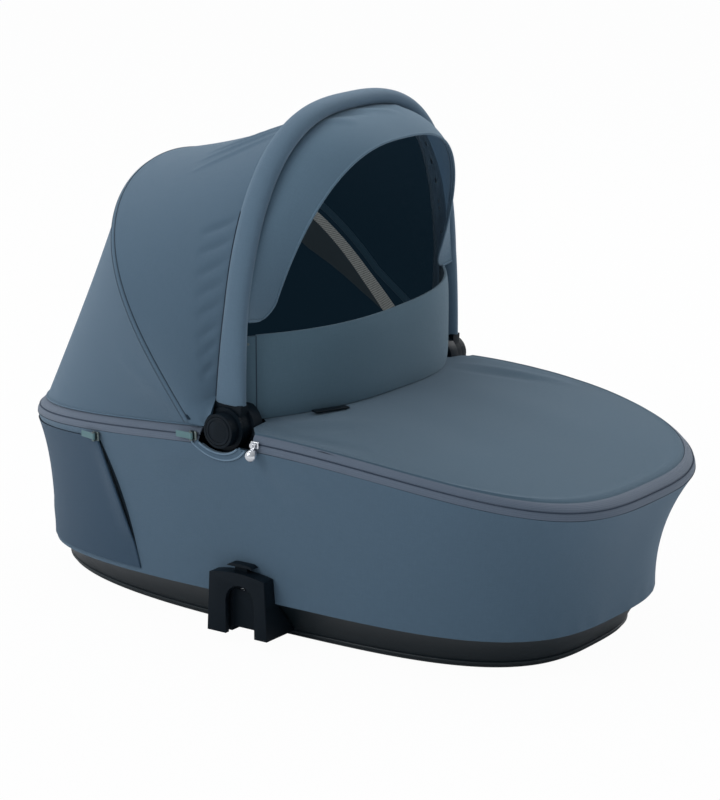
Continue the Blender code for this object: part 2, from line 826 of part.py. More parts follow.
def make_mattress():
    """A crowned pad that fills the tray's floor, drawn in at its seams."""
    base = TRAY_FLOOR_HEIGHT + TRAY_WALL + GAP
    inner = [inset + TRAY_WALL + MATTRESS_GAP for inset in TRAY_INSETS]
    rings = []
    for draw, share in MATTRESS_EDGE_SHARES:
        ring = []
        for station in CORNERS:
            x, y = station_point(station, *[inset + draw * MATTRESS_HEIGHT for inset in inner])
            ring.append(Vector((x, y, base + share * MATTRESS_HEIGHT)))
        rings.append(ring)
    for shrink in MATTRESS_CROWN_SHARES:
        ring = []
        for p in rings[len(MATTRESS_EDGE_SHARES) - 1]:
            lift = MATTRESS_CROWN * (1 - (1 - shrink) ** 2)
            ring.append(Vector((p.x * (1 - shrink), p.y * (1 - shrink), p.z + lift)))
        rings.append(ring)
    return closed_loft("mattress", rings, "mattress")


# Foot cover and wind flap

def flap_x(y):
    return FLAP_SIDE_X + FLAP_BULGE * (1 - abs(y / FLAP_HALF_WIDTH) ** FLAP_POWER)


def apron_z(x, y):
    """The foot cover's top: the rim's arch plus a crown that dies out at the zip."""
    across = abs(y) / (HALF_WIDTH - ZIP_SEAM_INSETS[0])
    along = max(0.0, x - WIDEST_X) / (HALF_LENGTH - ZIP_SEAM_INSETS[1] - WIDEST_X)
    edge = min(1.0, along ** FOOT_POWERS[0] + across ** FOOT_POWERS[1])
    return rim_z(x) + APRON_CROWN * (1 - edge ** APRON_CROWN_POWER)


def make_apron():
    insets = [inset + ZIP_THICK + 2 * GAP for inset in ZIP_SEAM_INSETS]
    rows = []
    for station in foot_stations(ZIP_FOOT_X):
        ex, ey = station_point(station, *insets)
        sy = ey * APRON_EDGE_SHARE
        beside_hub = APRON_START_X - APRON_START_SLOPE * max(0.0, FLAP_END_Y - abs(sy))
        sx = max(flap_x(sy) - APRON_TUCK, beside_hub)
        row = []
        for share in spread(0.0, 1.0, 6):
            x, y = mix(sx, ex, share), mix(sy, ey, share)
            row.append(Vector((x, y, apron_z(x, y))))
        rows.append(row)
    face = [[row[k] for row in rows] for k in range(len(rows[0]))]
    return shell("apron", face, APRON_THICK, "shell_fabric")


def make_flap():
    """A padded upright panel that follows the foot cover's head-side edge."""
    rings = []
    for y in spread(-FLAP_END_Y, FLAP_END_Y, 18):
        x = flap_x(y)
        slope = (flap_x(y + GAP) - flap_x(y - GAP)) / (2 * GAP)
        out = Vector((1, -slope, 0)).normalized()
        base = max(apron_z(x - FLAP_THICK, y), apron_z(x + FLAP_THICK, y)) + GAP
        front, back = [], []
        for share in spread(0.0, 1.0, 5):
            pad = FLAP_EDGE_THICK + (FLAP_THICK - FLAP_EDGE_THICK) * (1 - (2 * share - 1) ** 4)
            middle = Vector((x, y, mix(base, FLAP_TOP, share)))
            front.append(middle + out * pad / 2)
            back.append(middle - out * pad / 2)
        rings.append(front + back[::-1])
    flap = closed_loft("wind_flap", rings, "shell_fabric")
    foot = flap_x(0) + FLAP_THICK / 2
    return set_pivot(flap, (foot, 0, apron_z(foot, 0) + GAP))


def make_flap_tab():
    y = FLAP_TAB_Y
    x = flap_x(y) + FLAP_THICK / 2 + GAP
    z = apron_z(x + FLAP_TAB_WIDTH, y) + APRON_CROWN / 8
    slope = (flap_x(y + GAP) - flap_x(y - GAP)) / (2 * GAP)
    tab = add_object("flap_tab", box_mesh(
        "flap_tab", (0, -FLAP_TAB_LENGTH / 2, 0), (FLAP_TAB_WIDTH, FLAP_TAB_LENGTH / 2, FLAP_TAB_THICK),
        FLAP_TAB_THICK / 4), "black_plastic")
    turn = Matrix.Rotation(-math.atan(slope), 4, "Z")
    tab.data.transform(Matrix.Translation((x + FLAP_TAB_THICK, y, z)) @ turn)
    return tab


# Frame inside the fabric

def make_rim_tubes():
    inset = HALF_WIDTH - TUBE_PLANE
    level = rim_z(HUB_X) - TUBE_DROP
    end_x, bend_x = HUB_X + SOCKET_REACH - SOCKET_DEPTH + GAP, HUB_X + SOCKET_REACH + OVERRUN
    foot = [(end_x, -TUBE_PLANE, level), (bend_x, -TUBE_PLANE, level)]
    for station in foot_stations(bend_x + SOCKET_DEPTH, inset):
        x, y = station_point(station, inset)
        foot.append((x, y, rim_height(station) - TUBE_DROP))
    foot += [(end, TUBE_PLANE, level) for end in (bend_x, end_x)]
    tube("rim_tube_foot", foot, TUBE_RADIUS, "metal")
    end_x, bend_x = HUB_X - SOCKET_REACH + SOCKET_DEPTH - GAP, HUB_X - SOCKET_REACH - OVERRUN
    head = [(end_x, -TUBE_PLANE, level), (bend_x, -TUBE_PLANE, level)]
    for station in head_stations(bend_x - SOCKET_DEPTH, inset):
        x, y = station_point(station, inset)
        head.append((x, y, rim_height(station) - TUBE_DROP))
    head += [(end, TUBE_PLANE, level) for end in (bend_x, end_x)]
    tube("rim_tube_head", head, TUBE_RADIUS, "metal")


def near_point(u, v, depth):
    """Places (along x, along z) at a distance from the middle plane on the near side."""
    return Vector((u, -depth, v))


def make_hub_base():
    hub = add_object("hub_base_near", cylinder_mesh(
        "hub_base_near", BASE_RADIUS, (HUB_X, -BASE_INNER, HUB_Z), (HUB_X, -BASE_OUTER, HUB_Z)),
        "black_plastic")
    level = rim_z(HUB_X) - TUBE_DROP
    radius = TUBE_RADIUS + GAP + SOCKET_WALL
    socket = cutter("hub_socket", cylinder_mesh(
        "hub_socket", radius, (HUB_X - SOCKET_REACH, -TUBE_PLANE, level),
        (HUB_X + SOCKET_REACH, -TUBE_PLANE, level), 20))
    lug = cutter("hub_lug", box_mesh(
        "hub_lug", (HUB_X - BASE_LUG_HALF, -BASE_OUTER + OVERRUN / 8, BASE_LUG_BOTTOM),
        (HUB_X + BASE_LUG_HALF, -BASE_INNER - OVERRUN / 8, HUB_Z)))
    combine(hub, [socket, lug], "UNION")
    cuts = [cutter("hub_pin_bore", cylinder_mesh(
        "hub_pin_bore", PIN_RADIUS + GAP, (HUB_X, -BASE_INNER + OVERRUN, HUB_Z),
        (HUB_X, -BASE_OUTER - OVERRUN, HUB_Z), 20))]
    cuts.append(cutter("hub_pin_seat", cylinder_mesh(
        "hub_pin_seat", PIN_HEAD_RADIUS + GAP, (HUB_X, -BASE_INNER + PIN_HEAD_THICK + OVERRUN, HUB_Z),
        (HUB_X, -BASE_INNER, HUB_Z), 20)))
    for k, side in enumerate((-1, 1)):
        outer = HUB_X + side * (SOCKET_REACH + OVERRUN)
        inner = HUB_X + side * (SOCKET_REACH - SOCKET_DEPTH)
        cuts.append(cutter(f"hub_tube_bore_{k}", cylinder_mesh(
            f"hub_tube_bore_{k}", TUBE_RADIUS + GAP, (inner, -TUBE_PLANE, level),
            (outer, -TUBE_PLANE, level), 20)))
    combine(hub, cuts)
    far_copy(hub, "hub_base_far")


def make_posts():
    top = -(BASE_OUTER + BASE_INNER) / 2
    inside = HALF_WIDTH - COVER_THICK - TRAY_WALL - 5 * GAP - POST_THICK / 2
    low = wall_inset_at(TRAY_TOP_HEIGHT) - inside
    low_end = HEM_INSETS[0] - inside
    rings = []
    for y, z in ((low_end, POST_BOTTOM), (low, TRAY_TOP_HEIGHT), (top, BASE_LUG_BOTTOM - GAP)):
        rings.append([Vector((HUB_X + u * POST_WIDTH / 2, y + v * POST_THICK / 2, z))
                      for u, v in ((-1, -1), (1, -1), (1, 1), (-1, 1))])
    post = closed_loft("side_post_near", rings, "metal")
    far_copy(post, "side_post_far")


def make_pins():
    end = HANDLE_HALF + LEG_THICK / 2 + GAP
    pin = add_object("hub_pin_near", cylinder_mesh(
        "hub_pin_near", PIN_RADIUS, (HUB_X, -BASE_INNER + PIN_HEAD_THICK / 2, HUB_Z),
        (HUB_X, -end, HUB_Z), 20), "metal")
    head = cutter("hub_pin_head", cylinder_mesh(
        "hub_pin_head", PIN_HEAD_RADIUS, (HUB_X, -BASE_INNER + GAP, HUB_Z),
        (HUB_X, -BASE_INNER + GAP + PIN_HEAD_THICK, HUB_Z), 20))
    combine(pin, [head], "UNION")
    far_copy(pin, "hub_pin_far")


# Handle bow

def hoop(half, reach, powers, start, count, straight=0.0):
    """(y, distance) pairs along an arch, from near to far, starting at a distance up the leg."""
    low = max(0.0, start - straight) / reach
    first = math.asin(low ** (powers[1] / 2))
    pairs = []
    for turn in spread(first, math.pi - first, count):
        y = -half * signed_power(math.cos(turn), 2 / powers[0])
        s = straight + reach * math.sin(turn) ** (2 / powers[1])
        pairs.append((y, s))
    if straight > start:
        pairs = [(-half, start)] + pairs + [(half, start)]
    return pairs


def direction(degrees):
    return Vector((math.cos(math.radians(degrees)), 0, math.sin(math.radians(degrees))))


def handle_frames(start, count):
    """Centre, outward and forward directions along the handle."""
    pairs = hoop(HANDLE_HALF, HANDLE_REACH, (HANDLE_POWER, HANDLE_POWER), start, count)
    up = direction(HANDLE_ANGLE)
    forward = Vector((0, 1, 0)).cross(up)
    frames = []
    for k, (y, s) in enumerate(pairs):
        before = pairs[max(0, k - 1)]
        after = pairs[min(len(pairs) - 1, k + 1)]
        along = Vector((0, after[0] - before[0], 0)) + up * (after[1] - before[1])
        if k in (0, len(pairs) - 1):
            along = up if k == 0 else -up
        reach = Vector((0, y, 0)) + up * s
        out = along.normalized().cross(forward)
        out = -out if out.dot(reach) < 0 else out
        frames.append((HUB + reach, out, forward, s))
    return frames


def sleeve_half(s):
    share = min(1.0, max(0.0, (s - SLEEVE_START) / SLEEVE_TAPER))
    return mix(SLEEVE_HALF_LOW, SLEEVE_HALF_HIGH, share)


def make_handle_tube():
    frames = handle_frames(SLEEVE_START + GAP, HANDLE_STEPS)
    pipe = tube("handle_tube", [f[0] for f in frames], HANDLE_TUBE_RADIUS, "metal", 2)
    up = direction(HANDLE_ANGLE)
    bores = []
    for k, side in enumerate((-1, 1)):
        low = HUB + Vector((0, side * HANDLE_HALF, 0)) + up * (SLEEVE_START - OVERRUN)
        high = low + up * (SPIGOT_LENGTH + 2 * OVERRUN)
        bore = cylinder_mesh(f"tube_bore_{k}", SPIGOT_RADIUS + GAP, low, high, 12)
        bores.append(cutter(bore.name, bore))
    combine(pipe, bores)
    return set_pivot(pipe, HUB)


def make_sleeve():
    """A padded sleeve: a flat oval outside and a round bore for the tube."""
    frames = handle_frames(SLEEVE_START, HANDLE_STEPS)
    bore = (HANDLE_TUBE_RADIUS + GAP) / math.cos(math.pi / SLEEVE_SIDES)
    shape = bmesh.new()
    outer, inner = [], []
    for place, out, forward, s in frames:
        half = sleeve_half(s)
        outer.append([shape.verts.new(place + forward * half * u + out * SLEEVE_THICK * v)
                      for u, v in circle(1, SLEEVE_SIDES)])
        inner.append([shape.verts.new(place + forward * u + out * v)
                      for u, v in circle(bore, SLEEVE_SIDES)])
    for rings in (outer, inner):
        for low, high in zip(rings, rings[1:]):
            for k in range(SLEEVE_SIDES):
                n = (k + 1) % SLEEVE_SIDES
                shape.faces.new([low[k], low[n], high[n], high[k]])
    for a, b in ((outer[0], inner[0]), (outer[-1], inner[-1])):
        for k in range(SLEEVE_SIDES):
            n = (k + 1) % SLEEVE_SIDES
            shape.faces.new([a[k], a[n], b[n], b[k]])
    bmesh.ops.recalc_face_normals(shape, faces=shape.faces)
    sleeve = add_object("handle_sleeve", mesh_from_bmesh("handle_sleeve", shape), "shell_fabric")
    sleeve.data.shade_smooth()
    return set_pivot(sleeve, HUB)


def make_legs():
    up = direction(HANDLE_ANGLE)
    forward = Vector((0, 1, 0)).cross(up)
    inner = HANDLE_HALF - LEG_THICK / 2
    outer = HANDLE_HALF + LEG_THICK / 2
    dip = math.acos(LEG_HALF / LEG_DISC_RADIUS)
    top = SLEEVE_START - GAP
    outline = [(LEG_HALF, top), (-LEG_HALF, top)]
    outline += [(LEG_DISC_RADIUS * math.cos(a), LEG_DISC_RADIUS * math.sin(a))
                for a in spread(math.pi - dip, math.tau + dip, 22)]

    def place(u, v, depth):
        return HUB + forward * u + up * v + Vector((0, -depth, 0))

    leg = add_object("handle_leg_near", prism_mesh("handle_leg_near", outline, inner, outer, place),
                     "black_plastic")
    barrel = cutter("leg_barrel", cylinder_mesh(
        "leg_barrel", BARREL_RADIUS, (HUB_X, -HANDLE_HALF, HUB_Z), (HUB_X, -BARREL_FACE, HUB_Z), 36))
    spigot = cutter("leg_spigot", cylinder_mesh(
        "leg_spigot", SPIGOT_RADIUS, place(0, top - OVERRUN, HANDLE_HALF),
        place(0, top + SPIGOT_LENGTH, HANDLE_HALF), 12))
    combine(leg, [barrel, spigot], "UNION")
    bore = cutter("leg_bore", cylinder_mesh(
        "leg_bore", PIN_RADIUS + GAP, (HUB_X, -inner + OVERRUN, HUB_Z),
        (HUB_X, -BARREL_FACE, HUB_Z), 20))
    recess = cutter("leg_recess", cylinder_mesh(
        "leg_recess", RECESS_RADIUS, (HUB_X, -BARREL_FACE + RECESS_DEPTH, HUB_Z),
        (HUB_X, -BARREL_FACE - OVERRUN, HUB_Z), 36))
    combine(leg, [bore, recess])
    set_pivot(leg, (HUB_X, -HANDLE_HALF, HUB_Z))
    far_copy(leg, "handle_leg_far")


def make_buttons():
    face = BARREL_FACE + BUTTON_PROUD
    radius = RECESS_RADIUS - GAP
    groove = radius - BUTTON_BORDER
    profile = ((radius, face - BUTTON_THICK), (radius, face - BUTTON_RIM), (radius - BUTTON_RIM, face),
               (groove, face), (groove - BUTTON_RIM / 2, face - BUTTON_RIM),
               (groove - BUTTON_RIM, face - BUTTON_RIM / 2))
    rings = [[Vector((HUB_X + u, -v, HUB_Z + w)) for u, w in circle(r, 28)] for r, v in profile]
    button = closed_loft("hub_button_near", rings, "black_plastic")
    set_pivot(button, (HUB_X, -face, HUB_Z))
    far_copy(button, "hub_button_far")


def coil(name, centre, axis, across, radius, wire, start, end, turns):
    """A compression spring wound about an axis, as one open tube."""
    side = axis.cross(across)
    count = 8 * turns + 1
    points = []
    for k in range(count):
        turn = math.tau * turns * k / (count - 1)
        rise = mix(start + wire, end - wire, k / (count - 1))
        points.append(centre + axis * rise + (across * math.cos(turn) + side * math.sin(turn)) * radius)
    return tube(name, points, wire, "metal", 1)


def make_button_springs():
    floor = BARREL_FACE - RECESS_DEPTH + GAP
    seat = BARREL_FACE + BUTTON_PROUD - BUTTON_THICK - GAP
    spring = coil("button_spring_near", HUB, Vector((0, -1, 0)), Vector((1, 0, 0)),
                  SPRING_RADIUS, SPRING_WIRE, floor, seat, SPRING_TURNS)
    set_pivot(spring, (HUB_X, -floor, HUB_Z))
    far_copy(spring, "button_spring_far")


# Rear bow and hood fabric

BOW_FOOT = Vector((HUB_X - BOW_FOOT_SETBACK, 0, HUB_Z + BOW_FOOT_RISE))


def bow_points(half, reach, start, count):
    along = direction(BOW_ANGLE)
    return [BOW_FOOT + Vector((0, y, 0)) + along * s
            for y, s in hoop(half, reach, BOW_POWERS, start, count, BOW_STRAIGHT)]


def make_rear_bow():
    leave = direction(BOW_LEAVE_ANGLE)
    plane = HANDLE_HALF + LEG_THICK / 2 + GAP + RING_THICK / 2
    middle = (RING_INNER + RING_OUTER) / 2
    arch = bow_points(BOW_HALF, BOW_REACH, BOW_JOIN, BOW_STEPS)
    near = [HUB + leave * middle + Vector((0, -plane, 0)),
            HUB + leave * (RING_OUTER + BOW_RADIUS) + Vector((0, -BOW_LOW_PLANE, 0)),
            HUB + leave * BOW_LOW_REACH + Vector((0, -BOW_LOW_PLANE, 0))]
    far = [Vector((p.x, -p.y, p.z)) for p in near[::-1]]
    bow = tube("rear_bow", near + arch + far, BOW_RADIUS, "metal", 1)
    rings = []
    for side in (-1, 1):
        inner_face = side * (plane - RING_THICK / 2)
        outer_face = side * (plane + RING_THICK / 2)
        ring = cutter(f"bow_ring_{side}", cylinder_mesh(
            f"bow_ring_{side}", RING_OUTER, (HUB_X, inner_face, HUB_Z), (HUB_X, outer_face, HUB_Z), 28))
        rings.append(ring)
    combine(bow, rings, "UNION")
    bores = []
    for side in (-1, 1):
        bores.append(cutter(f"bow_ring_bore_{side}", cylinder_mesh(
            f"bow_ring_bore_{side}", RING_INNER, (HUB_X, side * (plane - RING_THICK), HUB_Z),
            (HUB_X, side * (plane + RING_THICK), HUB_Z), 28)))
    combine(bow, bores)
    return set_pivot(bow, HUB)


def seam_points(start, count=PANEL_STEPS, inner=0.0, shift=0.0):
    """The hood's sewn line over the rear bow; shift moves it off the bow's plane."""
    ends = 2 if BOW_STRAIGHT > start else 0
    out = BOW_RADIUS + SEAM_CLEAR + PANEL_THICK - inner
    across = direction(BOW_ANGLE - 90) * 2 * shift
    return [p + across for p in bow_points(BOW_HALF + out, BOW_REACH + out, start, count - ends)]


def rim_seam_points(inner=0.0):
    points = []
    for station in head_stations(ZIP_HEAD_X):
        x, y = station_point(station, *[inset + inner for inset in ZIP_SEAM_INSETS])
        points.append(Vector((x, y, rim_height(station) + GAP)))
    return points


def rear_panel_rows(count, inward=0.0, low_share=0.0, high_share=1.0):
    """Rows from the rim to the rear bow's seam, drawn in a little between them."""
    rim = rim_seam_points()
    seam = seam_points(0.0, len(rim), 0.0, -GAP)
    heart = Vector((mix(HUB_X, -HALF_LENGTH, SAG_HEART_SHARE), 0, RIM_HEIGHT))
    rows = []
    for share in spread(low_share, high_share, count):
        row = []
        for k, (a, b) in enumerate(zip(rim, seam)):
            across = math.sin(math.pi * k / (len(rim) - 1))
            p = a.lerp(b, share)
            pull = REAR_SAG * 4 * share * (1 - share) * across + inward * min(1.0, VENT_EASE * across)
            row.append(p + (heart - p).normalized() * pull)
        rows.append(row)
    return rows


def make_rear_panel():
    rows = rear_panel_rows(PANEL_ROWS)
    backs = {0: rim_seam_points(PANEL_THICK),
             PANEL_ROWS - 1: seam_points(0.0, len(rows[0]), PANEL_THICK, -GAP)}
    return shell("hood_rear_panel", rows, PANEL_THICK, "shell_fabric", backs)


def make_vent_net():
    low, high = 1 - VENT_SHARES[1], 1 - VENT_SHARES[0]
    rows = rear_panel_rows(3, VENT_DEPTH, low, high)
    first = round(VENT_SPAN_SHARES[0] * (len(rows[0]) - 1))
    last = round(VENT_SPAN_SHARES[1] * (len(rows[0]) - 1))
    return shell("vent_net", [row[first:last + 1] for row in rows], VENT_THICK, "mesh_net")


def make_mid_panel():
    seam = seam_points(MID_START_BOW, PANEL_STEPS, 0.0, GAP)
    frames = handle_frames(MID_START_HANDLE, len(seam))
    rows = []
    for share in spread(0.0, 1.0, PANEL_ROWS):
        row = []
        for k, (a, (place, out, forward, s)) in enumerate(zip(seam, frames)):
            across = math.sin(math.pi * k / (len(seam) - 1)) ** 2
            b = place - forward * (sleeve_half(s) + GAP) + out * mix(MID_EDGE_OUT, -MID_EDGE_IN, across)
            lift = mix(MID_BULGE_LOW, -MID_SAG_TOP, across) * 4 * share * (1 - share)
            row.append(a.lerp(b, share) + out * lift)
        rows.append(row)
    edge = [p - out * PANEL_THICK for p, (place, out, forward, s) in zip(rows[-1], frames)]
    backs = {0: seam_points(MID_START_BOW, PANEL_STEPS, PANEL_THICK, GAP), PANEL_ROWS - 1: edge}
    return shell("hood_mid_panel", rows, PANEL_THICK, "shell_fabric", backs)


# Visor

VISOR_FOOT = Vector((HUB_X + VISOR_FOOT_SHIFT, 0, HUB_Z + VISOR_FOOT_RISE))


def visor_edge(half, reach, count):
    along = direction(VISOR_ANGLE)
    return [VISOR_FOOT + Vector((0, y, 0)) + along * s
            for y, s in hoop(half, reach, VISOR_POWERS, VISOR_EDGE_START, count)]


def make_visor():
    beyond = PIPING_RADIUS + GAP
    edge = visor_edge(VISOR_HALF + beyond, VISOR_REACH + beyond, PANEL_STEPS)
    frames = handle_frames(VISOR_START, PANEL_STEPS)
    rows = []
    for share in spread(0.0, 1.0, 4):
        row = []
        for k, ((place, out, forward, s), b) in enumerate(zip(frames, edge)):
            across = math.sin(math.pi * k / (len(edge) - 1))
            a = place + forward * (sleeve_half(s) + 2 * GAP) - out * mix(VISOR_IN, VISOR_IN_TOP, across)
            lift = VISOR_BULGE * 4 * share * (1 - share)
            row.append(a.lerp(b, share) + out * lift)
        rows.append(row)
    backs = {0: [p - out * PANEL_THICK for p, (place, out, forward, s) in zip(rows[0], frames)]}
    visor = shell("visor", rows, PANEL_THICK, "shell_fabric", backs)
    set_pivot(visor, VISOR_FOOT)
    line = visor_edge(VISOR_HALF - PANEL_THICK, VISOR_REACH - PANEL_THICK, PANEL_STEPS + 2)
    piping = tube("visor_piping", line, PIPING_RADIUS, "shell_fabric", 1)
    set_pivot(piping, VISOR_FOOT)


# Chassis adapters

def adapter_outline():
    low, top = ADAPTER_LOW_WIDTH / 2, ADAPTER_TOP_WIDTH / 2
    outline = [(-low, ADAPTER_BOTTOM), (low, ADAPTER_BOTTOM)]
    for share in spread(1.0, -1.0, 9):
        outline.append((top * share, ADAPTER_SHOULDER + ADAPTER_CROWN * (1 - share ** 2)))
    return [(ADAPTER_X + u, v) for u, v in outline]


def arch_outline(centre, width, low, high, steps=9):
    half = width / 2
    outline = [(centre - half, low), (centre + half, low)]
    for turn in spread(0, math.pi, steps):
        outline.append((centre + half * math.cos(turn), high - half + half * math.sin(turn)))
    return outline


def make_adapter():
    adapter = add_object("adapter_near", prism_mesh(
        "adapter_near", adapter_outline(), ADAPTER_BACK, ADAPTER_FACE, near_point), "black_plastic")
    skin = HALF_WIDTH - HEM_INSETS[0] + 2 * GAP
    tray_low = HALF_WIDTH - TRAY_INSETS[0] + TRAY_BEAD + GAP
    tray_high = HALF_WIDTH - HEM_INSETS[0] - COVER_THICK + GAP
    above = ADAPTER_SHOULDER + 2 * ADAPTER_CROWN
    high_skin = HALF_WIDTH - wall_inset_at(above) + 2 * GAP
    behind = ADAPTER_BACK - OVERRUN
    profile = [(behind, -OVERRUN), (tray_low, -OVERRUN),
               (tray_low, TRAY_BEAD_HEIGHT + OVERRUN / 2),
               (mix(tray_low, tray_high, ADAPTER_BEND_SHARE),
                mix(TRAY_BEAD_HEIGHT, HEM_HEIGHT, ADAPTER_BEND_SHARE)),
               (tray_high, HEM_HEIGHT - OVERRUN / 2), (skin, HEM_HEIGHT - OVERRUN / 4),
               (skin, HEM_HEIGHT), (high_skin, above), (behind, above)]
    half = ADAPTER_LOW_WIDTH / 2 + OVERRUN
    cuts = [cutter("adapter_back_cut", prism_mesh(
        "adapter_back_cut", profile, ADAPTER_X - half, ADAPTER_X + half,
        lambda depth, z, x: Vector((x, -depth, z))))]
    middle = ADAPTER_X + SLOT_SHIFT
    floor = ADAPTER_FACE - SLOT_DEPTH
    cuts.append(cutter("adapter_slot", prism_mesh(
        "adapter_slot", arch_outline(middle, SLOT_WIDTH, ADAPTER_BOTTOM - OVERRUN, SLOT_TOP), floor,
        ADAPTER_FACE + OVERRUN, near_point)))
    groove_outer = ADAPTER_FACE - ADAPTER_PLATE
    cuts.append(cutter("adapter_groove", box_mesh(
        "adapter_groove", (middle - GROOVE_WIDTH / 2, -groove_outer, ADAPTER_BOTTOM - OVERRUN),
        (middle + GROOVE_WIDTH / 2, -groove_outer + GROOVE_THICK, GROOVE_TOP))))
    cuts.append(cutter("adapter_lift", box_mesh(
        "adapter_lift", (middle - SLOT_WIDTH / 2, -floor - OVERRUN, ADAPTER_BOTTOM - OVERRUN),
        (middle + SLOT_WIDTH / 2, -ADAPTER_BACK + OVERRUN, ADAPTER_BOTTOM + BACK_WALL_LIFT))))
    half_w, half_t = LATCH_STEM_WIDTH / 2 + GAP, LATCH_STEM_THICK / 2 + GAP
    top = ADAPTER_SHOULDER + ADAPTER_CROWN
    cuts.append(cutter("adapter_latch_pocket", box_mesh(
        "adapter_latch_pocket", (ADAPTER_X - half_w, -LATCH_PLANE - half_t, top - LATCH_POCKET_DEPTH),
        (ADAPTER_X + half_w, -LATCH_PLANE + half_t, top + OVERRUN))))
    combine(adapter, cuts)
    far_copy(adapter, "adapter_far")


def make_latch():
    """A spring-loaded press tab whose stem slides in the adapter's top."""
    top = ADAPTER_SHOULDER + ADAPTER_CROWN
    low = top + LATCH_TRAVEL + GAP
    outline = [(-LATCH_WIDTH / 2, low), (LATCH_WIDTH / 2, low)]
    for share in spread(1.0, -1.0, 9):
        rise = math.sqrt(max(0.0, 1 - share ** 4))
        outline.append((LATCH_WIDTH / 2 * share, mix(low + OVERRUN / 8, top + LATCH_RISE, rise)))
    outline = [(ADAPTER_X + u, v) for u, v in outline]
    skin = HALF_WIDTH - wall_inset_at(top + LATCH_RISE) + 2 * GAP
    latch = add_object("latch_near", prism_mesh(
        "latch_near", outline, skin, skin + LATCH_DEPTH, near_point), "black_plastic")
    stem = cutter("latch_stem", box_mesh(
        "latch_stem",
        (ADAPTER_X - LATCH_STEM_WIDTH / 2, -LATCH_PLANE - LATCH_STEM_THICK / 2,
         top - LATCH_STEM_LENGTH),
        (ADAPTER_X + LATCH_STEM_WIDTH / 2, -LATCH_PLANE + LATCH_STEM_THICK / 2,
         low + OVERRUN / 4)))
    combine(latch, [stem], "UNION")
    set_pivot(latch, (ADAPTER_X, -LATCH_PLANE, top))
    far_copy(latch, "latch_far")
    floor = top - LATCH_POCKET_DEPTH + GAP
    seat = top - LATCH_STEM_LENGTH - GAP
    place = Vector((ADAPTER_X, -LATCH_PLANE, 0))
    spring = coil("latch_spring_near", place, Vector((0, 0, 1)), Vector((1, 0, 0)),
                  LATCH_SPRING_RADIUS, LATCH_SPRING_WIRE, floor, seat, SPRING_TURNS)
    set_pivot(spring, (ADAPTER_X, -LATCH_PLANE, floor))
    far_copy(spring, "latch_spring_far")


# Zip sliders and pulls

def zip_place(x, inset, drop):
    """A point on the near side's zip, with the outward and backward directions there."""
    station = station_at(x)
    px, py = station_point(station, inset)
    ax, ay = station_point(station + ZIP_SIGHT_SHARE, inset)
    along = Vector((ax - px, ay - py, 0)).normalized()
    out = Vector((along.y, -along.x, 0))
    out = out if out.y < 0 else -out
    back = along if along.x < 0 else -along
    return Vector((px, py, rim_z(px) - drop)), out, back


def turned(mesh, place, out, back):
    """Moves a mesh made with +X along the zip and -Y outward to its place."""
    frame = Matrix((back, -out, Vector((0, 0, 1)))).transposed().to_4x4()
    mesh.transform(Matrix.Translation(place) @ frame)
    return mesh


def make_ball_pull():
    place, out, back = zip_place(APRON_SLIDER_X, ZIP_MID_INSETS[0] / 2, ZIP_BAND + APRON_SLIDER_DROP)
    block = add_object("apron_slider_near", turned(box_mesh(
        "apron_slider_near", (-SLIDER_LENGTH / 2, -SLIDER_THICK - OVERRUN / 8, -SLIDER_HEIGHT / 2),
        (SLIDER_LENGTH / 2, -OVERRUN / 8, SLIDER_HEIGHT / 2), SLIDER_THICK / 4), place, out, back), "silver")
    stud_start = place + out * (SLIDER_THICK / 2)
    stud_end = place + out * (SLIDER_THICK + STUD_LENGTH)
    stud = cutter("apron_stud", cylinder_mesh("apron_stud", STUD_RADIUS, stud_start, stud_end, 12))
    combine(block, [stud], "UNION")
    far_copy(block, "apron_slider_far")
    eye = place + out * (SLIDER_THICK + STUD_LENGTH * EYE_SHARE)
    down = Vector((0, 0, -1))
    pull = add_object("apron_pull_near", cylinder_mesh(
        "apron_pull_near", EYE_OUTER, eye - out * EYE_THICK / 2, eye + out * EYE_THICK / 2, 16), "silver")
    ball_shape = bmesh.new()
    bmesh.ops.create_uvsphere(ball_shape, u_segments=16, v_segments=10, radius=BALL_RADIUS)
    skin = HALF_WIDTH + BALL_RADIUS + 2 * GAP
    ball_place = Vector((eye.x, -skin, eye.z - BALL_DROP))
    ball_shape.transform(Matrix.Translation(ball_place))
    ball = cutter("pull_ball", mesh_from_bmesh("pull_ball", ball_shape))
    neck = cutter("pull_neck", cylinder_mesh(
        "pull_neck", NECK_WIDTH / 2, eye + down * (EYE_OUTER - EYE_THICK / 3), ball_place, 10))
    combine(pull, [neck, ball], "UNION")
    bore = cutter("pull_bore", cylinder_mesh(
        "pull_bore", STUD_RADIUS + GAP, eye - out * EYE_THICK, eye + out * EYE_THICK, 12))
    combine(pull, [bore])
    set_pivot(pull, eye)
    far_copy(pull, "apron_pull_far")


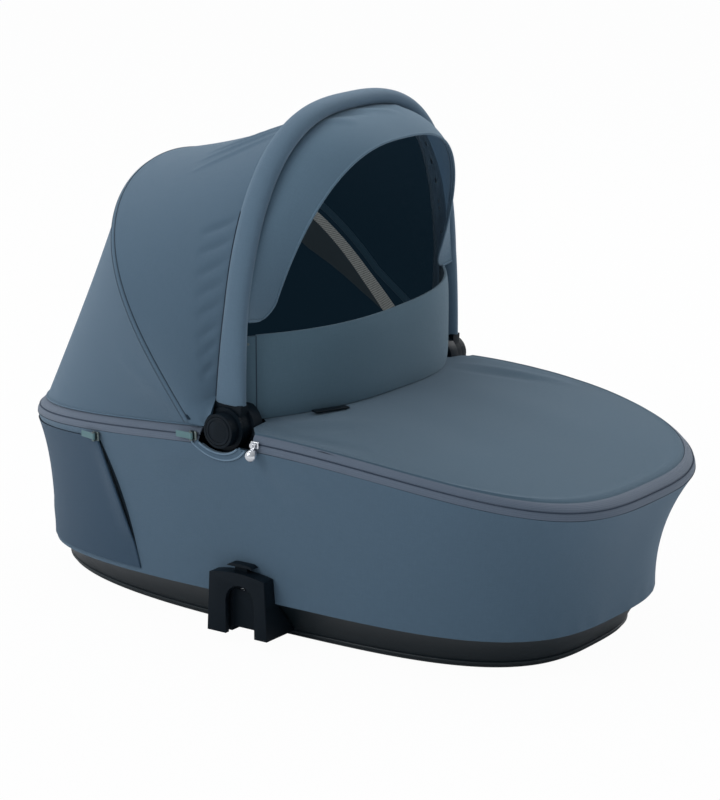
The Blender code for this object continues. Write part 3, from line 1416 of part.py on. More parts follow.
def make_tab_pull(name, place, out, back, far=True):
    """A small slider with a fabric tab that lifts on an upright pin."""
    slider_name, tab_name = name + "_slider", name + "_tab"
    if far:
        slider_name, tab_name = slider_name + "_near", tab_name + "_near"
    height = TAB_HEIGHT + 2 * EAR_THICK + 2 * GAP
    pin_out = SLIDER_THICK + TAB_LOOP_RADIUS
    block = add_object(slider_name, turned(box_mesh(
        slider_name, (-SLIDER_LENGTH / 2, -SLIDER_THICK, -height / 2),
        (SLIDER_LENGTH / 2, -GAP, height / 2), SLIDER_THICK / 5), place, out, back), "silver")
    parts = []
    for k, side in enumerate((-1, 1)):
        low = side * (height / 2) - (EAR_THICK if side > 0 else 0)
        parts.append(cutter(f"{name}_ear_{k}", turned(box_mesh(
            f"{name}_ear_{k}", (-TAB_LOOP_RADIUS, -pin_out - TAB_PIN_RADIUS - GAP, low),
            (TAB_LOOP_RADIUS, -SLIDER_THICK / 2, low + EAR_THICK)), place, out, back)))
    lift = Vector((0, 0, height / 2 - EAR_THICK / 2))
    axis = place + out * pin_out
    pin = cylinder_mesh(f"{name}_pin", TAB_PIN_RADIUS, axis - lift, axis + lift, 10)
    parts.append(cutter(pin.name, pin))
    combine(block, parts, "UNION")
    tab = add_object(tab_name, turned(box_mesh(
        tab_name, (TAB_LOOP_RADIUS / 2, -pin_out - TAB_THICK / 2, -TAB_HEIGHT / 2),
        (TAB_LENGTH, -pin_out + TAB_THICK / 2, TAB_HEIGHT / 2), TAB_THICK / 4),
        place, out, back), "pull_tape")
    half = Vector((0, 0, TAB_HEIGHT / 2))
    loop = cylinder_mesh(f"{name}_loop", TAB_LOOP_RADIUS - GAP, axis - half, axis + half, 14)
    combine(tab, [cutter(loop.name, loop)], "UNION")
    bore = cylinder_mesh(f"{name}_bore", TAB_PIN_RADIUS + GAP, axis - half * 2, axis + half * 2, 10)
    combine(tab, [cutter(bore.name, bore)])
    set_pivot(tab, axis)
    if far:
        far_copy(block, name + "_slider_far")
        far_copy(tab, name + "_tab_far")


def make_tab_pulls():
    place, out, back = zip_place(HOOD_SLIDER_X, ZIP_MID_INSETS[0] / 2, ZIP_BAND)
    make_tab_pull("hood", place + out * GAP, out, back)
    station = station_at(POCKET_SLIDER_X)
    spot = wall_point(station, POCKET_SLIDER_SHARE, -GAP)
    step = wall_point(station - ZIP_SIGHT_SHARE, POCKET_SLIDER_SHARE, -GAP) - spot
    back = Vector((step.x, step.y, 0)).normalized()
    out = Vector((back.y, -back.x, 0))
    out = out if out.y < 0 else -out
    make_tab_pull("pocket", spot + out * (POCKET_THICK + GAP), out, back, far=False)


def make_hub_cutters():
    made = []
    for side in (-1, 1):
        name = f"hub_cutout_{side}"
        made.append(cutter(name, cylinder_mesh(
            name, CUTOUT_RADIUS, (CUTOUT_X, side * CUTOUT_INNER, CUTOUT_Z),
            (CUTOUT_X, side * (HALF_WIDTH + 2 * OVERRUN), CUTOUT_Z), 40)))
    return made


HUB_CUTTERS = make_hub_cutters()
make_tray()
make_pads()
make_cover()
make_pocket()
make_zips()
make_liner()
make_mattress()
make_apron()
make_flap()
make_flap_tab()
make_rim_tubes()
make_hub_base()
make_posts()
make_pins()
make_handle_tube()
make_sleeve()
make_legs()
make_buttons()
make_button_springs()
make_rear_bow()
make_rear_panel()
make_vent_net()
make_mid_panel()
make_visor()
make_adapter()
make_latch()
make_ball_pull()
make_tab_pulls()

for item in PARTS.objects:
    item.data.name = item.name
    print(item.name, "turns or slides at", [round(v, 4) for v in item.location])
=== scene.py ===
# %% [markdown]
# # Dressing a carrycot
#
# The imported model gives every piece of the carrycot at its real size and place. This script gives it
# its looks: woven fabric, zips, padding, moulded plastic and metal. Each part of the cot has a short
# cell of its own. Lengths are in metres, +X points to the foot end, -Y is the near side and Z is up.

# %% Load the frame
import math

import bmesh
import bpy
import numpy as np
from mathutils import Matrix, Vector


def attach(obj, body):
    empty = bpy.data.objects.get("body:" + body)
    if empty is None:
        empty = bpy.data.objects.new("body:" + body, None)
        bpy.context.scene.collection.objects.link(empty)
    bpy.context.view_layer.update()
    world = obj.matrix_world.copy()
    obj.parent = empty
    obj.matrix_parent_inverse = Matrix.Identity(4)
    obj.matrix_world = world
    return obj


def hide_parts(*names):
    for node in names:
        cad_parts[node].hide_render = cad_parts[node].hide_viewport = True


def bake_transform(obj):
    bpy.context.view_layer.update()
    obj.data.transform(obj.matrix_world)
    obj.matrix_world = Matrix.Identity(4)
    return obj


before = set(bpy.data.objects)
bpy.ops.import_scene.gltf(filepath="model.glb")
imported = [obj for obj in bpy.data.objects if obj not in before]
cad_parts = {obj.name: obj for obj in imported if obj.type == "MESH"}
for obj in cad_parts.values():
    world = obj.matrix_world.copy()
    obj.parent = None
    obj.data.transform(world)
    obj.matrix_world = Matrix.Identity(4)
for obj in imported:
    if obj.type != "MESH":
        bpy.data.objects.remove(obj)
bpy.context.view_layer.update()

# %% [markdown]
# The camera comes first, because the whole scene is judged through it. Its angle, distance and lens
# were fitted to outlines in the photograph. A long lens from 3.2 m keeps the far side of the cot
# almost as large as the near side, as a product photograph does.

# %% Camera
CAMERA_TURN = math.radians(35.08)
CAMERA_RISE = math.radians(14.45)
CAMERA_DISTANCE = 3.2
CAMERA_LENS = 129.7
CAMERA_SENSOR = 36.0
CAMERA_SHIFT = 0.002
AIM = Vector((0.0187, 0.0, 0.2286))

toward = Vector((math.sin(CAMERA_TURN) * math.cos(CAMERA_RISE),
                 -math.cos(CAMERA_TURN) * math.cos(CAMERA_RISE), math.sin(CAMERA_RISE)))
camera_data = bpy.data.cameras.new("photo_camera")
camera_data.sensor_width = CAMERA_SENSOR
camera_data.lens = CAMERA_LENS
camera_data.shift_y = CAMERA_SHIFT
camera = bpy.data.objects.new("photo_camera", camera_data)
camera.location = AIM + toward * CAMERA_DISTANCE
camera.rotation_euler = (-toward).to_track_quat("-Z", "Y").to_euler()
bpy.context.scene.collection.objects.link(camera)
bpy.context.scene.camera = camera
bpy.context.scene.view_settings.view_transform = "Standard"
print("camera at", [round(v, 3) for v in camera.location])

# %% [markdown]
# A finish is a small tree of shader nodes. Written as node calls it is hard to read, so a socket is
# wrapped in a class that knows the operators: `a * 2 + b` adds the two Math nodes. Every other node
# comes from one method, which takes the node's type, its settings, and the values of its sockets.

# %% Sockets that can be added and multiplied
MIX_INPUTS = (0, 6, 7)
MIX_RESULT = 2
EIGHT_BIT = 255
GAMMA = 2.2


class Wire:
    """A socket's value in a sum; each operator adds the Math node that works it out."""

    def __init__(self, finish, socket):
        self.finish = finish
        self.socket = socket

    def math(self, operation, *values):
        links = dict(enumerate(values))
        return self.finish.node("Math", {"operation": operation}, links)

    def __add__(self, other):
        return self.math("ADD", self, other)

    def __sub__(self, other):
        return self.math("SUBTRACT", self, other)

    def __rsub__(self, other):
        return self.math("SUBTRACT", other, self)

    def __mul__(self, other):
        return self.math("MULTIPLY", self, other)

    def __truediv__(self, other):
        return self.math("DIVIDE", self, other)

    def __rtruediv__(self, other):
        return self.math("DIVIDE", other, self)

    def sine(self):
        return self.math("SINE", self)

    def clipped(self, low, high):
        return self.finish.node("Clamp", {}, {0: self, 1: low, 2: high})

    __radd__ = __add__
    __rmul__ = __mul__


class Finish:
    """The node tree of a material, or of the world, built from expressions."""

    def __init__(self, name, owner=None):
        self.owner = owner or bpy.data.materials.new(name)
        self.owner.use_nodes = True
        self.tree = self.owner.node_tree
        self.tree.nodes.clear()

    def node(self, kind, settings, links, out=0):
        made = self.tree.nodes.new("ShaderNode" + kind)
        for key, value in settings.items():
            setattr(made, key, value)
        for key, value in links.items():
            if isinstance(value, Wire):
                self.tree.links.new(value.socket, made.inputs[key])
            else:
                made.inputs[key].default_value = value
        return Wire(self, made.outputs[out]) if len(made.outputs) else None

    def mix(self, share, a, b):
        a, b = (v if isinstance(v, Wire) else (*v, 1) for v in (a, b))
        links = dict(zip(MIX_INPUTS, (share, a, b)))
        return self.node("Mix", {"data_type": "RGBA"}, links, out=MIX_RESULT)

    def threads(self):
        """The cloth's own two directions, in metres, which each fabric mesh carries as a UV map."""
        flat = self.node("UVMap", {"uv_map": "threads"}, {})
        return [self.node("SeparateXYZ", {}, {"Vector": flat}, out=axis) for axis in "XY"]

    def noise(self, scale, detail, place=None):
        place = place or self.node("TexCoord", {}, {}, out="Object")
        return self.node("TexNoise", {}, {"Vector": place, "Scale": scale, "Detail": detail})

    def relief(self, height, depth):
        return self.node("Bump", {}, {"Height": height, "Distance": depth, "Strength": 1.0})

    def surface(self, **links):
        sockets = {key.replace("_", " "): value for key, value in links.items()}
        shader = self.node("BsdfPrincipled", {}, sockets)
        self.node("OutputMaterial", {}, {"Surface": shader})
        return self.owner


def linear(red, green, blue):
    """A colour as a picture program shows it, 0 to 255, as the shader's light values."""
    return tuple((v / EIGHT_BIT) ** GAMMA for v in (red, green, blue))


print("the shader helpers are ready")

# %% [markdown]
# A product photograph has a white ground that the eye doesn't notice. The floor is a pale sheet that
# adds its own white where the camera sees it, so it stays white but keeps the soft shadow. The world
# lights the cot from all round, more from the head end than from the foot end, and three large soft
# lamps give it form.

# %% Floor, world and lamps
FLOOR_SIZE = 14.0
FLOOR_COLOUR = (0.86, 0.86, 0.87, 1)
FLOOR_ROUGHNESS = 0.6
FLOOR_SEEN_SHARE = 0.97
WHITE = (1, 1, 1, 1)
WORLD_HEAD = (1.14, 1.20, 1.26)
WORLD_FOOT = (0.50, 0.53, 0.56)
WORLD_STRENGTH = 0.62
LAMPS = {
    "lamp_head_left": ((-0.9, -2.0, 1.7), 1.5, 15.0),
    "lamp_foot_behind": ((0.7, 2.6, 1.7), 1.6, 22.0),
    "lamp_above_head": ((-1.0, 0.4, 2.5), 1.6, 14.0),
}


def seen_share(finish):
    """1 for what the camera shows, 0 for the light that falls on things."""
    return finish.node("LightPath", {}, {}, out="Is Camera Ray")


def make_floor():
    bpy.ops.mesh.primitive_plane_add(size=FLOOR_SIZE)
    floor = bpy.context.object
    floor.name = "studio_floor"
    finish = Finish("floor_paper")
    paper = finish.node("BsdfDiffuse", {}, {"Color": FLOOR_COLOUR, "Roughness": FLOOR_ROUGHNESS})
    glow = finish.node("Emission", {}, {"Color": WHITE, "Strength": 1.0})
    both = finish.node("MixShader", {}, {0: seen_share(finish) * FLOOR_SEEN_SHARE, 1: paper, 2: glow})
    finish.node("OutputMaterial", {}, {"Surface": both})
    floor.data.materials.append(finish.owner)


def make_world():
    finish = Finish("studio", bpy.data.worlds.new("studio"))
    bpy.context.scene.world = finish.owner
    direction = finish.node("TexCoord", {}, {}, out="Generated")
    towards_foot = finish.node("SeparateXYZ", {}, {"Vector": direction}, out="X") * 0.5 + 0.5
    sky = finish.mix(towards_foot, WORLD_HEAD, WORLD_FOOT)
    light = finish.node("Background", {}, {"Color": sky, "Strength": WORLD_STRENGTH})
    seen = finish.node("Background", {}, {"Color": WHITE, "Strength": 1.0})
    both = finish.node("MixShader", {}, {0: seen_share(finish), 1: light, 2: seen})
    finish.node("OutputWorld", {}, {"Surface": both})


def make_lamp(name, place, size, watts):
    data = bpy.data.lights.new(name, "AREA")
    data.shape = "DISK"
    data.size = size
    data.energy = watts
    lamp = bpy.data.objects.new(name, data)
    lamp.location = place
    lamp.rotation_euler = (AIM - Vector(place)).to_track_quat("-Z", "Y").to_euler()
    bpy.context.scene.collection.objects.link(lamp)


make_floor()
make_world()
for name, (place, size, watts) in LAMPS.items():
    make_lamp(name, place, size, watts)
print("floor, world and", len(LAMPS), "lamps")

# %% [markdown]
# The cot's outer fabric is a fine plain weave of blue-grey yarns with a soft sheen. From a step away
# it is smooth, and close up it shows the crossing threads and small differences from yarn to yarn.
# The weave follows the cloth's own directions, so it runs along each panel and not through space.
# The hood's linings glow faintly, a painted glow for the daylight that comes through the cloth from
# outside; the bow's casing, the vent's satin and, very faintly, the handle's sleeve have a painted glow
# too.

# %% Fabrics
YARN_PITCH = 0.00075
WEAVE_DEPTH = 0.00018
SLUB_LENGTH = 0.012
SHEEN_TINT = (0.72, 0.84, 0.95, 1)
SHEEN_ROUGHNESS = 0.45
CLOTH_DRIFT = 7.0
YARN_TONE, WEAVE_TONE, DRIFT_TONE, TONE_BASE = 1.1, 0.25, 0.5, 0.18
YARN_RISE, WEAVE_RISE = 0.8, 0.6
DRIFT_ROUGH, WEAVE_ROUGH = 0.12, 0.05
CLOTH_SHINE = 0.25
RIB_PITCH = 0.0013
RIB_ROW = 1.6
RIB_DEPTH = 0.00025
RIB_NOISE = 900.0
RIB_DARK, RIB_LIGHT = 0.80, 1.14
# The ribs' and rows' shares paint shade into the valleys between them; the specks are the yarn's own tone.
RIB_VALLEY_SHADE, ROW_VALLEY_SHADE, SPECK_TONE = 0.35, 0.25, 0.5
RIB_RISE, ROW_RISE, SPECK_RISE = 0.6, 0.5, 0.3
TAPE_ROUGH, SPECK_ROUGH = 0.62, 0.2
TAPE_SHEEN, TAPE_SHINE = 0.2, 0.3


def tinted(colour, share):
    return tuple(v * share for v in colour)


def woven(name, colour, pitch=YARN_PITCH, spread=0.10, roughness=0.80, sheen=0.30, glow=0.0):
    """A plain weave: two sets of threads that cross, each yarn a little lighter or darker."""
    finish = Finish(name)
    along, across = finish.threads()
    warp = (along * (math.tau / pitch)).sine()
    weft = (across * (math.tau / pitch)).sine()
    weave = warp * weft * 0.5 + 0.5
    slubs = []
    for first, second in ((along, across), (across, along)):
        place = finish.node("CombineXYZ", {}, {"X": first / SLUB_LENGTH, "Y": second / pitch * 0.5})
        slubs.append(finish.noise(1.0, 2.0, place))
    yarn = (slubs[0] + slubs[1]) * 0.5
    drift = finish.noise(CLOTH_DRIFT, 3.0) - 0.5
    dark, light = tinted(colour, 1 - spread), tinted(colour, 1 + spread)
    share = yarn * YARN_TONE + weave * WEAVE_TONE + drift * DRIFT_TONE - TONE_BASE
    height = weave * WEAVE_RISE + yarn * YARN_RISE
    return finish.surface(
        Base_Color=finish.mix(share.clipped(0.0, 1.0), dark, light),
        Roughness=(roughness + drift * DRIFT_ROUGH - weave * WEAVE_ROUGH).clipped(0.0, 1.0),
        Normal=finish.relief(height, WEAVE_DEPTH),
        Sheen_Weight=sheen, Sheen_Roughness=SHEEN_ROUGHNESS, Sheen_Tint=SHEEN_TINT,
        # glow is painted light: an emission in the cloth's own colour.
        Emission_Color=(*colour, 1), Emission_Strength=glow, Specular_IOR_Level=CLOTH_SHINE)


def ribbed_tape(name, colour, pitch=RIB_PITCH):
    """Zip tape: fine ribs across the band, with painted shade that darkens the valleys between them."""
    finish = Finish(name)
    along, across = finish.threads()
    rib = (along * (math.tau / pitch)).sine() * 0.5 + 0.5
    row = (across * (math.tau / (pitch * RIB_ROW))).sine() * 0.5 + 0.5
    speck = finish.noise(RIB_NOISE, 2.0)
    share = (rib * RIB_VALLEY_SHADE + row * ROW_VALLEY_SHADE + speck * SPECK_TONE).clipped(0.0, 1.0)
    height = rib * RIB_RISE + row * ROW_RISE + speck * SPECK_RISE
    return finish.surface(Base_Color=finish.mix(share, tinted(colour, RIB_DARK), tinted(colour, RIB_LIGHT)),
                          Roughness=TAPE_ROUGH + speck * SPECK_ROUGH,
                          Normal=finish.relief(height, RIB_DEPTH),
                          Sheen_Weight=TAPE_SHEEN, Specular_IOR_Level=TAPE_SHINE)


SHELL = woven("shell_cloth", linear(84, 106, 124))
APRON_CLOTH = woven("foot_cover_cloth", linear(79, 101, 117))
VISOR_CLOTH = woven("visor_cloth_weave", linear(97, 121, 139))
FLAP_CLOTH = woven("flap_cloth", linear(88, 112, 126))
POCKET = woven("pocket_cloth", linear(58, 79, 98), spread=0.08, roughness=0.84, sheen=0.22)
# The sleeve, the hood's linings, the bow's casing and the satin have a painted glow; the visor's lining and
# the casing are also painted lighter than the tub's lining for the light that reaches them.
SLEEVE = woven("sleeve_cloth", linear(92, 114, 132), sheen=0.36, glow=0.03)
LINING = woven("lining_cloth", linear(24, 38, 48), pitch=0.0010, roughness=0.88, sheen=0.06)
GLOWING_HOOD_LINING = woven("glowing_hood_lining_cloth", linear(24, 38, 48), roughness=0.88, sheen=0.06, glow=0.55)
LIT_VISOR_LINING = woven("lit_visor_lining_cloth", linear(66, 88, 108), glow=0.42)
CASING = woven("bow_casing_cloth", linear(40, 58, 70), pitch=0.0010, glow=0.35)
SATIN = woven("satin_cloth", linear(62, 72, 78), pitch=0.0004, roughness=0.34, sheen=0.0, glow=0.20)
MATTRESS = woven("mattress_cloth", linear(44, 58, 70), pitch=0.0012, roughness=0.9, sheen=0.1)
# A lighter copy of the shell cloth: on the cut-out's rolls and the visor's inner piping it paints their
# highlights.
HIGHLIGHT_BINDING = woven("highlight_binding_cloth", linear(118, 142, 162), pitch=0.0006)
ZIP_TAPE = ribbed_tape("zip_tape_cloth", linear(98, 110, 126))
PULL_TAPE = ribbed_tape("pull_tape_cloth", linear(96, 128, 132), pitch=0.0011)
print("fabrics:", len([m for m in bpy.data.materials if "cloth" in m.name]))

# %% [markdown]
# The hard parts are nylon: black and finely grained on the hub, the latch and the adapter, dark grey
# and satin on the tray. Grain is a bump, and every convex edge is a little smoother and paler,
# which the Pointiness of the surface finds. Metals are plain and bright with faint brushed lines.

# %% Plastics, metals and the small finishes
NET_PAINTED_GLOW = 0.11
NET_DEPTH = 0.0004
NET_HOLE = (0.01, 0.014, 0.016)
HOLE_LEVEL = 0.35
HOLE_GAIN = 6.0
NET_NOISE = 700.0
NET_DARK = 0.7
NET_SHEEN = 0.2
NET_ROUGH, HOLE_ROUGH = 0.42, 0.4
BLACK = (0.0, 0.0, 0.0)
EDGE_LEVEL = 0.52
EDGE_GAIN = 9.0
EDGE_TONE, CLOUD_TONE = 0.6, 0.2
EDGE_ROUGH, CLOUD_ROUGH, LEAST_ROUGH = 0.08, 0.18, 0.05
PALE_SHARE, PALE_BASE = 1.6, 0.002
CLOUD_SCALE = 14.0
GRAIN_SCALE = 1500.0
BRUSH_SCALES = (1400.0, 1400.0, 60.0)
BRUSH_DEPTH = 0.00003
BRUSH_DARK, BRUSH_ROUGH = 0.9, 0.12


def moulded(name, colour, roughness, grain=0.00008, shine=0.25):
    """Grained nylon or rubber, a little smoother and paler where the surface has an edge."""
    finish = Finish(name)
    grit = finish.noise(GRAIN_SCALE, 2.0)
    cloud = finish.noise(CLOUD_SCALE, 4.0)
    edge = finish.node("NewGeometry", {}, {}, out="Pointiness")
    paled_edge = ((edge - EDGE_LEVEL) * EDGE_GAIN).clipped(0.0, 1.0)
    pale = tuple(v * PALE_SHARE + PALE_BASE for v in colour)
    rough = roughness + (cloud - 0.5) * CLOUD_ROUGH - paled_edge * EDGE_ROUGH
    return finish.surface(Base_Color=finish.mix(paled_edge * EDGE_TONE + cloud * CLOUD_TONE, colour, pale),
                          Roughness=rough.clipped(LEAST_ROUGH, 1.0),
                          Normal=finish.relief(grit, grain), Specular_IOR_Level=shine)


def brushed(name, colour, roughness):
    """Metal with faint lines along the object's Z."""
    finish = Finish(name)
    place = finish.node("TexCoord", {}, {}, out="Object")
    drawn = finish.node("VectorMath", {"operation": "MULTIPLY"}, {0: place, 1: BRUSH_SCALES})
    lines = finish.noise(1.0, 2.0, drawn)
    return finish.surface(Base_Color=finish.mix(lines, tinted(colour, BRUSH_DARK), colour),
                          Roughness=roughness + lines * BRUSH_ROUGH, Metallic=1.0,
                          Normal=finish.relief(lines, BRUSH_DEPTH))


def open_net(name, colour, pitch):
    """A knitted net: pale threads with a painted glow for the light that comes through from outside, and
    round holes of two crossing waves, painted near black for the dark lining and the shade behind them.
    """
    finish = Finish(name)
    along, across = finish.threads()
    wave = (along * (math.tau / pitch)).sine() * (across * (math.tau / pitch)).sine()
    hole = ((wave - HOLE_LEVEL) * HOLE_GAIN).clipped(0.0, 1.0)
    thread = finish.mix(finish.noise(NET_NOISE, 2.0), tinted(colour, NET_DARK), colour)
    return finish.surface(Base_Color=finish.mix(hole, thread, NET_HOLE),
                          Roughness=NET_ROUGH + hole * HOLE_ROUGH,
                          Normal=finish.relief(1 - hole, NET_DEPTH),
                          Emission_Color=finish.mix(hole, thread, BLACK),
                          Emission_Strength=NET_PAINTED_GLOW, Sheen_Weight=NET_SHEEN)


BLACK_NYLON = moulded("black_nylon", linear(18, 27, 34), 0.48, shine=0.16)
TRAY_NYLON = moulded("tray_nylon", linear(30, 39, 44), 0.38, grain=0.00004, shine=0.45)
PAD_RUBBER = moulded("pad_rubber", linear(34, 34, 35), 0.8)
BARE_METAL = brushed("tube_aluminium", (0.60, 0.61, 0.63), 0.28)
BRIGHT_METAL = brushed("bright_zip_metal", (0.86, 0.87, 0.90), 0.10)
DARK_METAL = brushed("dark_zip_metal", (0.20, 0.24, 0.23), 0.26)
NET = open_net("vent_net_yarn", linear(236, 240, 236), 0.0026)
COIL_NYLON = moulded("zip_coil_nylon", linear(52, 62, 76), 0.45)
THREAD = woven("stitch_thread_cloth", linear(66, 84, 100), pitch=0.0004, spread=0.2)
# A dark cloth for painted shadow lines along seams, tucks and the flap's seams.
PAINTED_SEAM_SHADOW = woven("seam_shadow_cloth", linear(44, 57, 70), pitch=0.0006)
print("finishes:", len(bpy.data.materials))

# %% [markdown]
# Most of the cot is cloth, so the main tool makes a closed sheet from a grid of points: the grid is
# the outer face, the back lies a thickness behind it, and the four edges are joined. It also lays
# the threads, which are the distances along the rows and columns.

# %% Sheets from grids of points
COT_HEART = np.array((0.0, 0.0, 0.20))
SHARP_ANGLE = math.radians(40)
EASED_ANGLE = math.radians(32)
TINY = 1e-12
FULLEST_SHARE = 0.99


def unit(vectors):
    return vectors / np.maximum(np.linalg.norm(vectors, axis=-1, keepdims=True), TINY)


def interpolated(spots, places, points):
    """Points at the given spots between points that stand at the given places."""
    return np.stack([np.interp(spots, places, points[:, a]) for a in range(3)], 1)


def facing(grid, heart=COT_HEART, wrap=False):
    """The surface direction at each point of a grid, pointing away from the heart."""
    if wrap:
        along = np.roll(grid, -1, axis=1) - np.roll(grid, 1, axis=1)
    else:
        along = np.gradient(grid, axis=1)
    out = unit(np.cross(along, np.gradient(grid, axis=0)))
    middle = np.asarray(heart)
    return out if np.sum(out * (grid - middle)) > 0 else -out


def run_length(points):
    steps = np.linalg.norm(np.diff(points, axis=0), axis=1)
    return np.concatenate(([0.0], np.cumsum(steps)))


def add_mesh(name, points, faces, uvs=None, marks=None):
    """A smooth mesh; uvs are per face corner and marks are the material numbers of its faces."""
    mesh = bpy.data.meshes.new(name)
    mesh.from_pydata([tuple(p) for p in points], [], [tuple(int(v) for v in face) for face in faces])
    if uvs is not None:
        layer = mesh.uv_layers.new(name="threads")
        layer.data.foreach_set("uv", np.asarray(uvs, np.float32).ravel())
    if marks is not None:
        mesh.polygons.foreach_set("material_index", np.asarray(marks, np.int32))
    item = bpy.data.objects.new(name, mesh)
    bpy.context.scene.collection.objects.link(item)
    return close_up(item)


def smooth(item, angle=SHARP_ANGLE):
    item.data.shade_smooth()
    item.data.set_sharp_from_angle(angle=angle)


def close_up(item):
    """Turns every face outward and shades the mesh smooth between its sharp edges."""
    shape = bmesh.new()
    shape.from_mesh(item.data)
    bmesh.ops.recalc_face_normals(shape, faces=shape.faces)
    shape.to_mesh(item.data)
    shape.free()
    smooth(item)
    return item


def sheet_mesh(name, grid, thick, heart=COT_HEART, wrap=False):
    """A closed sheet: marks are 0 on the outer face and 1 on the back and edges."""
    rows, cols = grid.shape[:2]
    back = grid - facing(grid, heart, wrap) * thick
    points = np.concatenate((grid.reshape(-1, 3), back.reshape(-1, 3)))
    closed = np.concatenate((grid[rows // 2], grid[rows // 2][:1])) if wrap else grid[rows // 2]
    u, v = run_length(closed), run_length(grid[:, cols // 2])
    spans = cols if wrap else cols - 1
    faces, uvs, marks = [], [], []
    layer = rows * cols

    def corner(r, c, side):
        return side * layer + r * cols + c % cols

    for side in (0, 1):
        for r in range(rows - 1):
            for c in range(spans):
                cells = ((r, c), (r, c + 1), (r + 1, c + 1), (r + 1, c))
                faces.append([corner(a, b, side) for a, b in cells])
                uvs += [(u[b], v[a]) for a, b in cells]
                marks.append(side)
    edges = [((r, c), (r, c + 1)) for r in (0, rows - 1) for c in range(spans)]
    if not wrap:
        edges += [((r, c), (r + 1, c)) for c in (0, cols - 1) for r in range(rows - 1)]
    for a, b in edges:
        faces.append([corner(*a, 0), corner(*b, 0), corner(*b, 1), corner(*a, 1)])
        near, far = (u[a[1]], v[a[0]]), (u[b[1]], v[b[0]])
        uvs += [near, far, (far[0], far[1] + thick), (near[0], near[1] + thick)]
        marks.append(1)
    return add_mesh(name, points, faces, uvs, marks)


def dress(item, finishes, body=None, nodes=()):
    """Gives a piece its finishes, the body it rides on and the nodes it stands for."""
    finishes = finishes if isinstance(finishes, (list, tuple)) else [finishes]
    marks = np.zeros(len(item.data.polygons), np.int32)
    item.data.polygons.foreach_get("material_index", marks)
    item.data.materials.clear()
    for finish in finishes:
        item.data.materials.append(finish)
    item.data.polygons.foreach_set("material_index", np.minimum(marks, len(finishes) - 1))
    if body:
        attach(item, body)
    if nodes:
        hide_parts(*nodes)


def area_of(grid):
    """The area of a grid of points, which is the cloth that was cut for it."""
    a, b = grid[1:, 1:] - grid[:-1, :-1], grid[1:, :-1] - grid[:-1, 1:]
    return float(np.linalg.norm(np.cross(a, b), axis=-1).sum() / 2)


def declare_sheet(item, grid):
    width = float(np.linalg.norm(np.diff(grid, axis=0), axis=-1).sum(axis=0).max())
    length = float(np.linalg.norm(np.diff(grid, axis=1), axis=-1).sum(axis=1).max())
    round(min(area_of(grid), width * length * FULLEST_SHARE), 4)
    print(item.name, "is cut", round(width, 3), "by", round(length, 3), "m")


print("sheet tools are ready")

# %% [markdown]
# Piping, tubes, bindings and stitches all follow a line. One function sweeps an oval section along
# any list of points. The section's two half sizes may differ, which makes a flat tape, and an up
# direction for each point lays that tape on a surface.

# %% Pipes, tapes and stitches along a line
FINE_SIDES, BAND_SIDES, PLAIN_SIDES, THIN_SIDES = 12, 10, 8, 6


def sweep(name, path, half_wide, half_thick, up, sides=PLAIN_SIDES, loop=False):
    """A section of the given half sizes along a path; up is the section's thin direction."""
    path = np.asarray(path, float)
    up = np.broadcast_to(np.asarray(up, float), path.shape)
    along = unit(np.roll(path, -1, 0) - np.roll(path, 1, 0)) if loop else unit(np.gradient(path, axis=0))
    wide = unit(np.cross(along, up))
    thin = unit(np.cross(wide, along))
    half_wide = np.broadcast_to(half_wide, len(path))
    half_thick = np.broadcast_to(half_thick, len(path))
    turns = np.linspace(0, math.tau, sides, endpoint=False)
    rings = (path[:, None] + wide[:, None] * (np.cos(turns)[:, None] * half_wide[:, None, None])
             + thin[:, None] * (np.sin(turns)[:, None] * half_thick[:, None, None]))
    return ring_mesh(name, rings, loop)


def ring_mesh(name, rings, loop=False):
    """A closed tube through rings of points, with flat ends unless it is a loop."""
    count, sides = rings.shape[:2]
    u = run_length(rings[:, 0] if not loop else np.concatenate((rings[:, 0], rings[:1, 0])))
    v = run_length(np.concatenate((rings[count // 2], rings[count // 2][:1])))
    faces, uvs = [], []
    for r in range(count if loop else count - 1):
        for c in range(sides):
            cells = ((r, c), (r, c + 1), (r + 1, c + 1), (r + 1, c))
            faces.append([(a % count) * sides + b % sides for a, b in cells])
            uvs += [(u[a], v[b]) for a, b in cells]
    if not loop:
        for r in (0, count - 1):
            faces.append([r * sides + c for c in range(sides)])
            uvs += [(u[r], v[c]) for c in range(sides)]
    return add_mesh(name, rings.reshape(-1, 3), faces, uvs)


STITCH_LENGTH = 0.0026
STITCH_PITCH = 0.0036
STITCH_RADIUS = 0.00028
STITCH_SPOTS = np.array((-0.5, -0.3, 0.3, 0.5)) * STITCH_LENGTH
STITCH_LIFTS = np.array((-1.0, 0.6, 0.6, -1.0)) * STITCH_RADIUS


def stitches(name, path, up):
    """A row of small threads that dip into the cloth at both ends."""
    path, up = np.asarray(path), np.broadcast_to(np.asarray(up, float), np.shape(path))
    length = run_length(path)
    points, faces = [], []
    for k in range(int(length[-1] / STITCH_PITCH)):
        spots = (k + 0.5) * STITCH_PITCH + STITCH_SPOTS
        line = interpolated(spots, length, path)
        rise = unit(interpolated(spots, length, up))
        wide = unit(np.cross(np.gradient(line, axis=0), rise))
        line = line + rise * STITCH_LIFTS[:, None]
        base = len(points)
        for p, w, r in zip(line, wide * STITCH_RADIUS, rise * STITCH_RADIUS):
            points += [p + w, p + r, p - w, p - r]
        last = len(points) - 4
        for low in range(base, last, 4):
            faces += [(low + c, low + (c + 1) % 4, low + (c + 1) % 4 + 4, low + c + 4) for c in range(4)]
        faces += [range(base, base + 4), range(last, last + 4)]
    return add_mesh(name, points, faces, np.zeros((len(faces) * 4, 2)))


print("line tools are ready")

